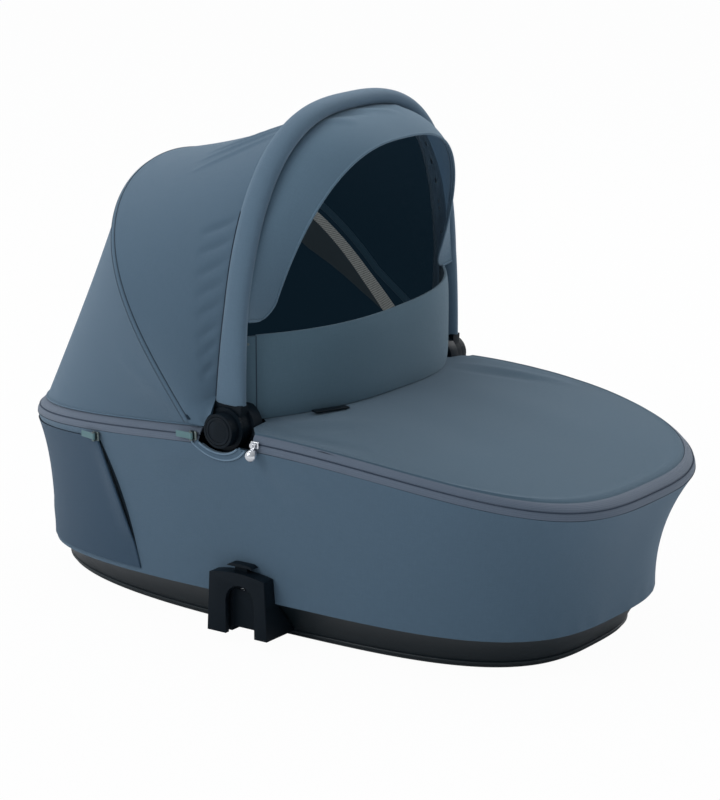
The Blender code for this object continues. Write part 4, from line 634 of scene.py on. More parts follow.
# %% [markdown]
# The rim is the curve that every fabric of the tub meets: in plan it is an oval with flatter sides
# and fuller corners than an ellipse, and seen from the side it falls towards both ends. The same
# few sizes as in the frame give it here, but as a smooth curve instead of forty corners.

# %% The rim's curve
HALF_LENGTH = 0.394
HALF_WIDTH = 0.222
WIDEST_X = 0.016
FOOT_POWERS = (3.5, 3.05)
HEAD_POWERS = (2.45, 2.33)
RIM_HEIGHT = 0.241
RIM_FALLS = (0.047, 0.041)
RIM_HEAD_POWER = 1.35
HEM_HEIGHT = 0.052
HEM_FALLS = (0.008, 0.0185)
HEM_INSETS = (0.0265, 0.040, 0.0145)
FLARE_POWERS = (2.0, 2.3, 4.0)
ZIP_BAND = 0.0085
SEAM_INSETS = (0.0063, 0.012, 0.014)
MID_INSETS = (0.0018, 0.002, 0.003)
OUTLINE_STEPS = 6000


def power(value, exponent):
    return np.sign(value) * np.abs(value) ** exponent


def powers_at(ahead):
    """The oval's two exponents, along and across, for its foot half or its head half."""
    return [np.where(ahead, FOOT_POWERS[k], HEAD_POWERS[k]) for k in (0, 1)]


def oval(turn, insets=(0.0, 0.0, 0.0)):
    """Plan points of the rim: turn 0 is the foot end and -90 degrees the near side."""
    side, foot, head = insets
    c, s = np.cos(turn), np.sin(turn)
    reach = np.where(c >= 0, HALF_LENGTH - foot - WIDEST_X, HALF_LENGTH - head + WIDEST_X)
    long_power, side_power = powers_at(c >= 0)
    return WIDEST_X + reach * power(c, 2 / long_power), (HALF_WIDTH - side) * power(s, 2 / side_power)


dense_turns = np.linspace(0.0, -math.tau, OUTLINE_STEPS)
dense_x, dense_y = oval(dense_turns)
dense_run = run_length(np.stack((dense_x, dense_y), 1))
RIM_LENGTH = dense_run[-1]


def even_turns(start, end, count):
    """Turns from start to end whose points lie at even distances along the rim."""
    low, high = np.interp([-start, -end], -dense_turns, dense_run)
    return np.interp(np.linspace(low, high, count), dense_run, dense_turns)


def ring_turns(count):
    """Turns all the way round the rim."""
    return even_turns(0.0, -math.tau, count + 1)[:-1]


def near_turn(x):
    """The near side's turn where the rim passes x."""
    half = OUTLINE_STEPS // 2
    return float(np.interp(-x, -dense_x[:half], dense_turns[:half]))


def fall(x, falls, head_power=2.0):
    foot = np.maximum(0.0, x - WIDEST_X) / (HALF_LENGTH - SEAM_INSETS[1] - WIDEST_X)
    head = np.maximum(0.0, WIDEST_X - x) / (HALF_LENGTH - SEAM_INSETS[2] + WIDEST_X)
    return falls[0] * foot ** 2 + falls[1] * head ** head_power


def rim_z(x):
    return RIM_HEIGHT - fall(x, RIM_FALLS, RIM_HEAD_POWER)


def rim_at(turn):
    """The seam's height at a turn."""
    return rim_z(oval(turn, SEAM_INSETS)[0])


def flared(share):
    """The three insets of the tub's wall at a share of its height."""
    return [inset * (1 - share ** flare) for inset, flare in zip(HEM_INSETS, FLARE_POWERS)]


def wall(turn, share, outward=0.0):
    """Points of the outer fabric: share 0 is the hem and 1 the zip."""
    x, y = oval(turn, [inset - outward for inset in flared(share)])
    top = rim_at(turn) - 2 * ZIP_BAND
    low = HEM_HEIGHT - fall(x, HEM_FALLS)
    return np.stack(np.broadcast_arrays(x, y, low + (top - low) * share), -1)


print("the rim is", round(float(RIM_LENGTH), 3), "m round")

# %% [markdown]
# Taut fabric still shows where it is pulled. A crease is a soft ridge or valley along a line from a
# point that pulls to a point that gives. It is raised on the grid before the sheet gets its back, so
# the mesh itself carries it and the light finds it from every side.

# %% Creases and waves
CREASE_REACH = 0.03
CREASE_ENDS = 0.7
RIPPLE_WAVES = 6
RIPPLE_SPREAD = (0.6, 1.6)


def crease(grid, out, start, end, width, height):
    """Lifts a soft fold beside the line from start to end; it dies out at both."""
    a, b = np.asarray(start, float), np.asarray(end, float)
    share = np.clip((grid - a) @ (b - a) / np.dot(b - a, b - a), 0.0, 1.0)
    gap = grid - a - share[..., None] * (b - a)
    off = np.sum(gap * out, axis=-1)
    gap = np.linalg.norm(gap - out * off[..., None], axis=-1)
    lift = height * np.exp(-(gap / width) ** 2) * np.sin(math.pi * share) ** CREASE_ENDS
    return grid + out * (lift * (np.abs(off) < CREASE_REACH))[..., None]


def crease_all(grid, folds, heart=COT_HEART, wrap=False):
    out = facing(grid, heart, wrap)
    for start, end, width, height in folds:
        grid = crease(grid, out, start, end, width, height)
    return grid


def ripple(grid, out, height, length, seed):
    """A faint unevenness from a few crossing waves; the seed picks their directions."""
    rng = np.random.default_rng(seed)
    total = np.zeros(grid.shape[:2])
    for _ in range(RIPPLE_WAVES):
        way = unit(rng.normal(size=3))
        run = length * rng.uniform(*RIPPLE_SPREAD)
        total += np.sin(grid @ way * math.tau / run + rng.uniform(0, math.tau))
    return grid + out * (height * total / RIPPLE_WAVES)[..., None]


print("crease tools are ready")

# %% [markdown]
# The tub's fabric hangs from the zip down to a hem that grips the tray. It bows outward a little, is
# cut away round each hub, and puckers where it is drawn in: below the hub, beside the adapter and
# along the hem at the ends. It is one sheet round the whole cot, cut with two round cutters.

# %% Tub fabric
COVER_THICK = 0.003
COVER_COLUMNS = 420
COVER_ROWS = 30
CUTOUT_RADIUS = 0.0389
CUTOUT_X = -0.0085
CUTOUT_Z = 0.2543
CUTOUT_INNER = 0.1785
TUB_FOLDS = [
    ((0.045, -0.2215, 0.214), (0.135, -0.216, 0.177), 0.011, 0.0013),
    ((0.036, -0.2215, 0.205), (0.075, -0.218, 0.159), 0.009, -0.0011),
    ((-0.036, -0.2215, 0.207), (-0.120, -0.215, 0.195), 0.008, 0.0012),
    ((-0.030, -0.2215, 0.199), (-0.085, -0.216, 0.169), 0.010, -0.0009),
    ((0.055, -0.197, 0.089), (0.113, -0.196, 0.061), 0.008, -0.0010),
    ((-0.037, -0.197, 0.087), (-0.092, -0.196, 0.059), 0.008, -0.0009),
    ((-0.052, -0.196, 0.069), (-0.102, -0.194, 0.053), 0.006, 0.0010),
]
MIRROR_STRENGTH = 0.8
HEM_WAVE_COUNT = 46
HEM_WAVE_HEIGHT = 0.0006
HEM_WAVE_SHARE = 0.25
TUB_RIPPLE = (0.0005, 0.16, 3)
CUTTER_SPARE = 0.01
CUTTER_SIDES = 96


def bake(item, angle=SHARP_ANGLE):
    """Replaces an object's modifiers by the mesh that they give, and shades it anew."""
    bpy.context.view_layer.update()
    seen = item.evaluated_get(bpy.context.evaluated_depsgraph_get())
    mesh = bpy.data.meshes.new_from_object(seen)
    item.modifiers.clear()
    item.data = mesh
    mesh.name = item.name
    smooth(item, angle)


def cut_away(item, cutters):
    """Cuts other shapes out of a closed mesh."""
    for other in cutters:
        change = item.modifiers.new("cut", "BOOLEAN")
        change.solver = "EXACT"
        change.object = other
    bake(item)
    for other in cutters:
        bpy.data.objects.remove(other, do_unlink=True)


def round_cutter(centre, radius, direction, depth, sides=CUTTER_SIDES):
    bpy.ops.mesh.primitive_cylinder_add(vertices=sides, radius=radius, depth=depth, location=centre)
    made = bpy.context.object
    made.rotation_euler = Vector(direction).to_track_quat("Z", "Y").to_euler()
    return made


def box_cutter(low, high):
    low, high = Vector(low), Vector(high)
    bpy.ops.mesh.primitive_cube_add(size=1, location=(low + high) / 2)
    made = bpy.context.object
    made.scale = high - low
    return made


def mirrored(folds):
    """The same folds on the far side, a little weaker so that the two sides aren't alike."""
    return [((a[0], -a[1], a[2]), (b[0], -b[1], b[2]), w, h * MIRROR_STRENGTH) for a, b, w, h in folds]


def hub_cutters():
    middle = (CUTOUT_INNER + HALF_WIDTH + CUTTER_SPARE) / 2
    depth = HALF_WIDTH + CUTTER_SPARE - CUTOUT_INNER
    return [round_cutter((CUTOUT_X, side * middle, CUTOUT_Z), CUTOUT_RADIUS, (0, 1, 0), depth)
            for side in (-1, 1)]


def make_tub_fabric():
    turns = ring_turns(COVER_COLUMNS)
    shares = np.linspace(1.0, 0.0, COVER_ROWS)
    grid = np.stack([wall(turns, share) for share in shares])
    out = facing(grid, wrap=True)
    near_hem = np.clip(1 - shares / HEM_WAVE_SHARE, 0, 1) ** 2
    ends = np.abs(np.cos(turns)) ** 3
    wave = np.sin(turns * HEM_WAVE_COUNT) * ends
    grid = grid + out * (HEM_WAVE_HEIGHT * near_hem[:, None] * wave[None])[..., None]
    grid = ripple(grid, out, *TUB_RIPPLE)
    grid = crease_all(grid, TUB_FOLDS + mirrored(TUB_FOLDS), wrap=True)
    tub = sheet_mesh("tub_fabric", grid, COVER_THICK, wrap=True)
    cut_away(tub, hub_cutters())
    dress(tub, [SHELL, LINING], "root", ["body_cover"])
    declare_sheet(tub, np.concatenate((grid, grid[:, :1]), axis=1))
    return grid


tub_grid = make_tub_fabric()
print("tub fabric:", round(area_of(tub_grid), 3), "square metres")

# %% [markdown]
# Cut edges of cloth are never left raw. The hem at the tray is turned under, which rounds it, and
# the round cut-out under each hub has a facing sewn behind it: a thin roll at its edge, a flat band
# 7 mm wide, and a second roll where the band is stitched down. Both rolls are in a lighter cloth
# that paints their highlights.

# %% Hem and cut-out binding
SIDES = {"near": -1, "far": 1}
BAND_HALF = 0.0036
BAND_THICK = 0.0008
ROLL_RADIUS = 0.0011
ROLL_SHARE = 0.7
STITCH_OFFSET = 2 * BAND_HALF + 0.0030
STITCH_CLEAR = 0.0001
HEM_HALVES = (COVER_THICK * 0.52, COVER_THICK * 0.62)
ARC_POINTS = 60


def side_y(x, z, outward=0.0):
    """How far the near wall stands from the middle plane at a place along it, as a positive size."""
    top = rim_z(x) - 2 * ZIP_BAND
    low = HEM_HEIGHT - fall(x, HEM_FALLS)
    side, foot, head = flared(np.clip((z - low) / (top - low), 0.0, 1.0))
    ahead = x >= WIDEST_X
    reach = HALF_LENGTH - (np.where(ahead, foot, head) - outward) - np.where(ahead, WIDEST_X, -WIDEST_X)
    long_power, side_power = powers_at(ahead)
    along = np.clip(np.abs(x - WIDEST_X) / reach, 0.0, 1.0)
    return (HALF_WIDTH - side + outward) * (1 - along ** long_power) ** (1 / side_power)


def make_hem():
    path = wall(ring_turns(COVER_COLUMNS), 0.0, -COVER_THICK / 2)
    hem = sweep("tub_hem", path, *HEM_HALVES, (0, 0, 1), loop=True)
    dress(hem, SHELL, "root")


def cutout_arc(radius, side, outward):
    """The part of a circle round the cut-out that lies below the zip, on the fabric."""
    below = CUTOUT_Z - float(rim_z(CUTOUT_X)) + 2 * ZIP_BAND
    half = math.pi / 2 - math.asin(below / radius)
    turns = np.linspace(-math.pi / 2 - half, -math.pi / 2 + half, ARC_POINTS)
    x, z = CUTOUT_X + radius * np.cos(turns), CUTOUT_Z + radius * np.sin(turns)
    return np.stack((x, side * side_y(x, z, outward), z), 1)


def make_cutout_bindings():
    for name, side in SIDES.items():
        up = (0, side, 0)
        for part, radius in (("inner", CUTOUT_RADIUS + ROLL_RADIUS),
                             ("outer", CUTOUT_RADIUS + 2 * BAND_HALF + ROLL_RADIUS)):
            path = cutout_arc(radius, side, ROLL_RADIUS * ROLL_SHARE)
            roll = sweep(f"cutout_roll_{part}_{name}", path, ROLL_RADIUS, ROLL_RADIUS, up)
            dress(roll, HIGHLIGHT_BINDING, "root")
        path = cutout_arc(CUTOUT_RADIUS + BAND_HALF + ROLL_RADIUS, side, 0.0)
        band = sweep(f"cutout_band_{name}", path, BAND_HALF, BAND_THICK, up, sides=FINE_SIDES)
        dress(band, SHELL, "root")
        path = cutout_arc(CUTOUT_RADIUS + STITCH_OFFSET, side, STITCH_CLEAR)
        dress(stitches(f"cutout_stitches_{name}", path, up), THREAD, "root")


make_hem()
make_cutout_bindings()
print("hem and two cut-out bindings")

# %% [markdown]
# Round the head end lies a second panel, the pocket. Its near edge is a slanting slit that stands
# open by a few millimetres and shows the dark inside. The panel is its own sheet just outside the
# tub fabric, its slit edge lifts away, and a dark strip lies in the gap.

# %% Head pocket
POCKET_LOW_X = -0.146
POCKET_TOP_X = -0.202
POCKET_SHARES = (0.03, 0.95)
POCKET_THICK = 0.0015
POCKET_GAP = 0.0003
POCKET_LIFT = 0.0042
POCKET_LIFT_WIDTH = 0.016
POCKET_ROWS = 26
POCKET_COLUMNS = 220
POCKET_OPEN_START = 0.2
POCKET_OPEN_POWER = 0.8
POCKET_RIPPLE = (0.0004, 0.14, 5)
POCKET_FOLDS = [((-0.370, -0.045 * side, 0.094), (-0.330, -0.110 * side, 0.059), 0.008, 0.0010)
                for side in (-1, 1)]
MOUTH_SHARES = (0.93, 0.10)
MOUTH_END_SHARE = 0.08
MOUTH_SHIFTS = (-0.0032, 0.0030)
MOUTH_GRID = (4, 24)
MOUTH_SUNK = 0.0003
MOUTH_THICK = 0.0004
POCKET_EDGE_RADIUS = 0.0013
POCKET_EDGE_OUT = 0.0006


def pocket_edge_x(share):
    z = wall(near_turn(POCKET_LOW_X), share)[..., 2]
    return POCKET_LOW_X + (POCKET_TOP_X - POCKET_LOW_X) * (z - HEM_HEIGHT) / (RIM_HEIGHT - HEM_HEIGHT)


def pocket_turn(x, share):
    """The near turn at which the wall itself, and not the rim, passes x."""
    reach = HALF_LENGTH - HEM_INSETS[2] * (1 - share ** FLARE_POWERS[2]) + WIDEST_X
    c = ((WIDEST_X - x) / reach) ** (HEAD_POWERS[0] / 2)
    return -(math.pi / 2 + math.asin(min(1.0, c)))


def make_pocket():
    rows = []
    shares = np.linspace(POCKET_SHARES[1], POCKET_SHARES[0], POCKET_ROWS)
    for share in shares:
        start = pocket_turn(float(pocket_edge_x(share)), share)
        turns = even_turns(start, -math.tau - start, POCKET_COLUMNS)
        rows.append(wall(turns, share, POCKET_GAP + POCKET_THICK))
    grid = np.stack(rows)
    out = facing(grid)
    opening = np.sin(math.pi * np.clip((shares - POCKET_OPEN_START) / (1 - POCKET_OPEN_START), 0, 1))
    opening = opening ** POCKET_OPEN_POWER
    for edge, lift in ((0, POCKET_LIFT), (-1, POCKET_LIFT * 0.5)):
        away = np.linalg.norm(grid - grid[:, edge][:, None], axis=-1)
        grid = grid + out * (lift * opening[:, None] * np.exp(-(away / POCKET_LIFT_WIDTH) ** 2))[..., None]
    grid = ripple(grid, out, *POCKET_RIPPLE)
    grid = crease_all(grid, POCKET_FOLDS)
    panel = sheet_mesh("pocket_panel", grid, POCKET_THICK)
    dress(panel, [POCKET, LINING], "root", ["head_pocket"])
    declare_sheet(panel, grid)
    return grid


def make_pocket_mouth(grid):
    """The dark inside that shows along the near slit, and the slit's folded edge."""
    columns, count = MOUTH_GRID
    rows = []
    for shift in np.linspace(*MOUTH_SHIFTS, columns):
        for share in np.linspace(*MOUTH_SHARES, count):
            bow = math.sin(math.pi * (share - MOUTH_END_SHARE) / (1 - MOUTH_END_SHARE))
            x = float(pocket_edge_x(share)) - shift * bow
            rows.append(wall(pocket_turn(x, share), share, POCKET_GAP))
    strip = np.stack(rows).reshape(columns, count, 3)
    mouth = sheet_mesh("pocket_mouth", strip - np.array((0, MOUTH_SUNK, 0)), MOUTH_THICK)
    dress(mouth, LINING, "root")
    edge = grid[:, 0] + np.array((0, POCKET_EDGE_OUT, 0))
    fold = sweep("pocket_edge", edge, POCKET_EDGE_RADIUS, POCKET_EDGE_RADIUS, (0, -1, 0))
    dress(fold, POCKET, "root")


pocket_grid = make_pocket()
make_pocket_mouth(pocket_grid)
print("pocket panel:", round(area_of(pocket_grid), 3), "square metres")

# %% [markdown]
# Each zip has two tapes with a coil between them. The tapes are softly rounded bands that meet in a
# narrow groove, and the coil lies in it: a thin nylon spiral, made here as a tube whose radius goes
# in and out once for each tooth. One zip runs round the foot cover and one round the hood.

# %% Zips
ZIP_FOOT_X = 0.036
ZIP_HEAD_X = -0.036
ZIP_THICK = 0.0016
ZIP_CROWN = 0.0010
ZIP_CROWN_POWER = 0.6
ZIP_GROOVE = 0.0007
ZIP_TAPES = {"upper": (0.0, 1 - ZIP_GROOVE / ZIP_BAND), "lower": (1 + ZIP_GROOVE / ZIP_BAND, 1.98)}
TOOTH_PITCH = 0.0016
TOOTH_RADII = (0.00095, 0.00055)
COIL_DEPTH = 0.0007
COIL_SPREAD = (0.9, 1.1)
ZIP_COLUMNS = 260
ZIP_ROWS = 7


def zip_turns(end, count):
    if end == "foot":
        start = near_turn(ZIP_FOOT_X)
        reach = np.interp(-start, -dense_turns, dense_run)
        runs = np.linspace(reach, -reach, count)
        turns = np.interp(np.abs(runs), dense_run, dense_turns)
        return np.where(runs < 0, -turns, turns)
    start = near_turn(ZIP_HEAD_X)
    return even_turns(start, -math.tau - start, count)


def band_point(turns, share):
    """Points of the two bands' common slope: 0 is the seam, 1 the groove and 2 the lower edge."""
    table = (SEAM_INSETS, MID_INSETS, (0.0, 0.0, 0.0))
    low = min(1, int(share))
    insets = [a + (b - a) * (share - low) for a, b in zip(table[low], table[low + 1])]
    x, y = oval(turns, insets)
    return np.stack((x, y, rim_at(turns) - share * ZIP_BAND), -1)


def make_zip_tape(end, part, turns):
    grid = np.stack([band_point(turns, share) for share in np.linspace(*ZIP_TAPES[part], ZIP_ROWS)])
    crown = np.sin(math.pi * np.linspace(0.0, 1.0, ZIP_ROWS)) ** ZIP_CROWN_POWER
    bulge = crown * ZIP_CROWN - ZIP_CROWN * 0.5
    grid = grid + facing(grid) * bulge[:, None, None]
    tape = sheet_mesh(f"{end}_zip_tape_{part}", grid, ZIP_THICK)
    dress(tape, ZIP_TAPE, "root", [f"{end}_zip_{part}"])


def make_zip_coil(end):
    pairs = int(RIM_LENGTH * 0.5 / TOOTH_PITCH)
    turns = zip_turns(end, pairs * 2)
    out = facing(np.stack([band_point(turns, share) for share in COIL_SPREAD]))[0]
    path = band_point(turns, 1.0) - out * COIL_DEPTH
    radii = np.tile(TOOTH_RADII, pairs)
    coil = sweep(f"{end}_zip_coil", path, radii, radii, (0, 0, 1), sides=THIN_SIDES)
    dress(coil, COIL_NYLON, "root")


def make_zips():
    for end in ("foot", "head"):
        turns = zip_turns(end, ZIP_COLUMNS)
        for part in ZIP_TAPES:
            make_zip_tape(end, part, turns)
        make_zip_coil(end)


make_zips()
print("two zips with their coils")

# %% [markdown]
# The foot cover is a taut sheet that zips on round the foot end. A crown of 12 mm keeps it off the
# baby's feet. Near the seam it drops fast into a narrow shadow line, and where the wind flap pulls
# at its two corners a few long shallow folds run towards the foot.

# %% Foot cover
APRON_THICK = 0.004
APRON_CROWN = 0.012
APRON_POWER = 0.7
APRON_TUCK = 0.010
APRON_CALM = 0.022
APRON_START_X = 0.022
APRON_START_SLOPE = 1.2
APRON_EDGE_SHARE = 0.93
APRON_ROWS = 34
APRON_COLUMNS = 240
APRON_ROW_POWER = 1.5
APRON_EDGE = ZIP_THICK * 0.6
APRON_DIPS = ((-0.0016, 0.0, 0.0022), (0.0009, 0.0055, 0.0030))
APRON_RIPPLE = (0.0006, 0.20, 8)
APRON_HEART = COT_HEART - np.array((0, 0, 2.0))
FLAP_SIDE_X = -0.013
FLAP_BULGE = 0.084
FLAP_HALF_WIDTH = 0.200
FLAP_POWER = 2.66
FLAP_END_Y = 0.178
APRON_FOLDS = [
    ((0.048, 0.150, 0.252), (0.190, 0.185, 0.245), 0.012, 0.0030),
    ((0.063, 0.120, 0.254), (0.160, 0.160, 0.249), 0.010, -0.0020),
    ((0.028, -0.190, 0.245), (0.118, -0.120, 0.252), 0.012, 0.0016),
    ((0.048, -0.205, 0.243), (0.168, -0.190, 0.245), 0.010, -0.0012),
    ((0.100, -0.060, 0.254), (0.260, -0.090, 0.244), 0.030, -0.0012),
    ((0.090, 0.060, 0.254), (0.300, 0.050, 0.239), 0.034, 0.0012),
]


def flap_x(y):
    return FLAP_SIDE_X + FLAP_BULGE * (1 - np.abs(y / FLAP_HALF_WIDTH) ** FLAP_POWER)


def apron_z(x, y):
    across = np.abs(y) / (HALF_WIDTH - SEAM_INSETS[0])
    along = np.maximum(0.0, x - WIDEST_X) / (HALF_LENGTH - SEAM_INSETS[1] - WIDEST_X)
    edge = np.minimum(1.0, along ** FOOT_POWERS[0] + across ** FOOT_POWERS[1])
    return rim_z(x) + APRON_CROWN * (1 - edge ** APRON_POWER)


def make_apron():
    turns = zip_turns("foot", APRON_COLUMNS)
    ex, ey = oval(turns, [inset + APRON_EDGE for inset in SEAM_INSETS])
    sy = ey * APRON_EDGE_SHARE
    beside_hub = APRON_START_X - APRON_START_SLOPE * np.maximum(0.0, FLAP_END_Y - np.abs(sy))
    sx = np.maximum(flap_x(sy) - APRON_TUCK, beside_hub)
    rows = []
    for share in 1 - np.linspace(1.0, 0.0, APRON_ROWS) ** APRON_ROW_POWER:
        x, y = sx + (ex - sx) * share, sy + (ey - sy) * share
        rows.append(np.stack((x, y, apron_z(x, y)), -1))
    grid = np.stack(rows)
    rim_gap = np.linalg.norm(grid - grid[-1][None], axis=-1)
    for lift, place, width in APRON_DIPS:
        grid[..., 2] += lift * np.exp(-((rim_gap - place) / width) ** 2)
    grid = ripple(grid, facing(grid, APRON_HEART), *APRON_RIPPLE)
    folded = crease_all(grid, APRON_FOLDS, APRON_HEART)
    grid = grid + (folded - grid) * np.clip(rim_gap / APRON_CALM, 0.0, 1.0)[..., None] ** 2
    apron = sheet_mesh("foot_cover", grid, APRON_THICK, APRON_HEART)
    dress(apron, [APRON_CLOTH, LINING], "root", ["apron"])
    declare_sheet(apron, grid)
    return grid


apron_grid = make_apron()
print("foot cover:", round(area_of(apron_grid), 3), "square metres")

# %% [markdown]
# Padding is what cloth simulation is good at. The wind flap, the handle's sleeve and the mattress
# are closed meshes, and Blender's cloth blows each one up from inside with a little pressure, while
# the sewn edges are pinned. The movement is capped, and the result becomes the mesh itself.

# %% Blowing up padded pieces
PLUMP_FRAMES = 16
PLUMP_SETTINGS = {"quality": 6, "mass": 0.25, "tension_stiffness": 12, "compression_stiffness": 12,
                  "bending_stiffness": 0.4, "use_pressure": True, "vertex_group_mass": "sewn"}


def plump(item, pressure, cap, pinned):
    """Swells a closed mesh with cloth pressure; no point moves further than the cap."""
    rest = np.array([v.co for v in item.data.vertices])
    group = item.vertex_groups.new(name="sewn")
    group.add([int(index) for index in np.flatnonzero(pinned)], 1.0, "REPLACE")
    settings = item.modifiers.new("padding", "CLOTH").settings
    for key, value in PLUMP_SETTINGS.items():
        setattr(settings, key, value)
    settings.uniform_pressure_force = pressure
    settings.effector_weights.gravity = 0.0
    scene = bpy.context.scene
    for number in range(1, PLUMP_FRAMES + 1):
        scene.frame_set(number)
    seen = item.evaluated_get(bpy.context.evaluated_depsgraph_get()).data
    move = np.array([v.co for v in seen.vertices]) - rest
    size = np.linalg.norm(move, axis=1, keepdims=True)
    move *= np.minimum(1.0, cap / np.maximum(size, TINY))
    item.modifiers.clear()
    item.vertex_groups.clear()
    item.data.vertices.foreach_set("co", (rest + move).astype(np.float32).ravel())
    item.data.update()
    scene.frame_set(1)
    print(item.name, "swelled by up to", round(float(np.linalg.norm(move, axis=1).max()) * 1000, 1), "mm")


print("cloth settings for padding:", len(PLUMP_SETTINGS))

# %% [markdown]
# The wind flap stands up behind the foot cover and follows its curved edge. It is a thin pad between
# two cloths, sewn shut all round, with a bound strip at each end that carries a press stud. Being
# soft, it droops a little towards its near end. Its shape starts a little thinner than it ends, since
# it swells.

# %% Wind flap
FLAP_TOP = 0.344
FLAP_TILT = 0.043
FLAP_THICK = 0.008
FLAP_EDGE_THICK = 0.003
FLAP_COLUMNS = 90
FLAP_ROWS = 22
FLAP_GAP = 0.0006
FLAP_STRIP = 0.0084
FLAP_STRIP_LOW = 0.14
FLAP_STIFF_SHARE = 0.85
FLAP_TAPER = 0.010
FLAP_TAPER_POWER = 0.5
FLAP_PAD_POWER = 6
FLAP_SWELL = (1.6, 0.0022)
FLAP_EDGE_HALVES = (0.0017, 0.0014)
SLOPE_STEP = 0.001
STRIP_ROWS = 30
STRIP_THICK = 0.0008
STRIP_SECTION = ((-0.0004, 1), (0.2, 1), (0.5, 1), (0.8, 1), (0.97, 1), (1.0, 0), (0.97, -1), (0.5, -1),
                 (-0.0004, -1))
GROOVE_HALVES = (0.0006, 0.0005)
GROOVE_OUT = 0.0002


def flap_frame(y):
    """A place on the flap's middle line with its outward direction."""
    slope = (flap_x(y + SLOPE_STEP) - flap_x(y - SLOPE_STEP)) / (2 * SLOPE_STEP)
    return flap_x(y), unit(np.stack((np.ones_like(y), -slope, np.zeros_like(y)), -1))


def flap_face(y, share, side):
    """Points of the flap: share 0 is its foot and 1 its top, and side is 1 outside and -1 inside."""
    x, out = flap_frame(y)
    base = np.maximum(apron_z(x - FLAP_THICK, y), apron_z(x + FLAP_THICK, y)) + FLAP_GAP
    end = np.clip((FLAP_END_Y - np.abs(y)) / FLAP_TAPER, 0.0, 1.0) ** FLAP_TAPER_POWER
    pad = FLAP_EDGE_THICK + (FLAP_THICK - FLAP_EDGE_THICK) * (1 - (2 * share - 1) ** FLAP_PAD_POWER) * end
    top = FLAP_TOP + FLAP_TILT * y
    middle = np.stack((x, y, base + (top - base) * share), -1)
    return middle + out * (side * pad / 2)[..., None]


def lean(item):
    """Works out each point's share of the flap's height, which nothing uses, and bakes the piece's
    transform into its mesh.
    """
    place = np.zeros(len(item.data.vertices) * 3)
    item.data.vertices.foreach_get("co", place)
    y, z = place[1::3], place[2::3]
    base = apron_z(flap_x(np.clip(y, -FLAP_END_Y, FLAP_END_Y)), y)
    share = np.clip((z - base) / (FLAP_TOP + FLAP_TILT * y - base) / FLAP_STIFF_SHARE, 0.0, 1.0)
    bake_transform(item)


def make_flap():
    y = np.linspace(-FLAP_END_Y, FLAP_END_Y, FLAP_COLUMNS)
    rise = np.linspace(0.0, 1.0, FLAP_ROWS)
    shares, sides = np.concatenate((rise, rise[::-1])), np.repeat((1.0, -1.0), FLAP_ROWS)
    around, along = len(shares), np.ones((FLAP_COLUMNS, 1))
    rings = flap_face(y[:, None] * np.ones(around), along * shares, along * sides)
    flap = ring_mesh("wind_flap_pad", rings)
    row = np.tile(np.arange(around), FLAP_COLUMNS)
    column = np.repeat(np.arange(FLAP_COLUMNS), around)
    pinned = np.isin(row, (0, FLAP_ROWS - 1, FLAP_ROWS, around - 1))
    pinned |= (column == 0) | (column == FLAP_COLUMNS - 1)
    plump(flap, *FLAP_SWELL, pinned)
    dress(flap, FLAP_CLOTH, nodes=["wind_flap"])
    lean(flap)


def make_flap_trim():
    y = np.linspace(-FLAP_END_Y, FLAP_END_Y, FLAP_COLUMNS)
    ones = np.ones_like(y)
    top = (flap_face(y, ones, ones) + flap_face(y, ones, -ones)) / 2
    edge = sweep("flap_top_edge", top, *FLAP_EDGE_HALVES, (0, 0, 1))
    dress(edge, FLAP_CLOTH, "wind_flap")
    for name, side in SIDES.items():
        share = np.linspace(FLAP_STRIP_LOW, 1.0, STRIP_ROWS)
        columns = [flap_face(np.full(STRIP_ROWS, side * (FLAP_END_Y + FLAP_STRIP * reach)), share,
                             np.full(STRIP_ROWS, float(face))) for reach, face in STRIP_SECTION]
        band = sheet_mesh(f"flap_strip_{name}", np.stack(columns), STRIP_THICK)
        # A painted shadow line along the seam between the pad and each strip.
        seam = flap_face(np.full(STRIP_ROWS, side * FLAP_END_Y), np.linspace(0.0, 1.0, STRIP_ROWS),
                         np.ones(STRIP_ROWS))
        groove = sweep(f"flap_seam_shadow_{name}", seam + np.array((GROOVE_OUT, 0, 0)), *GROOVE_HALVES, (1, 0, 0))
        for item, finish in ((band, FLAP_CLOTH), (groove, PAINTED_SEAM_SHADOW)):
            dress(item, finish)
            lean(item)


make_flap()
make_flap_trim()
print("wind flap with its strips")

# %% [markdown]
# The handle is a tube in a padded sleeve. The sleeve's section is a flat oval, wider at the hubs
# than over the top. A lengthwise seam pulls it in along the inner side, the cuffs at both ends are
# turned in, and on the inside of each bend the cloth is a little too long, so it gathers.

# %% Handle sleeve
HUB = np.array((-0.006, 0.0, 0.240))
HANDLE_ANGLE = math.radians(87.5)
HANDLE_HALF = 0.2035
HANDLE_REACH = 0.3255
HANDLE_POWER = 2.8
SLEEVE_THICK = 0.009
SLEEVE_HALVES = (0.0195, 0.0148)
SLEEVE_TAPER = 0.10
SLEEVE_START = 0.0268
SLEEVE_COUNT = 170
SLEEVE_SIDES = 32
HANDLE_UP = np.array((math.cos(HANDLE_ANGLE), 0.0, math.sin(HANDLE_ANGLE)))
HANDLE_FORWARD = np.cross((0.0, 1.0, 0.0), HANDLE_UP)
SLEEVE_EASE = 0.0008
SWELL_ROOM = (0.0006, 0.0004)
SECTION_POWER = 0.90
BEND_FULL = 18.0
GATHER_HEIGHT = 0.0005
GATHER_LENGTH = 0.013
SEAM_DEPTH = 0.0012
SEAM_WIDTH = 0.16
CUFFS = ((0.93, -0.0006), (0.84, 0.0004), (0.84, 0.006))
SLEEVE_SWELL = (1.2, 0.0009)
HOOP_STEPS = 4000


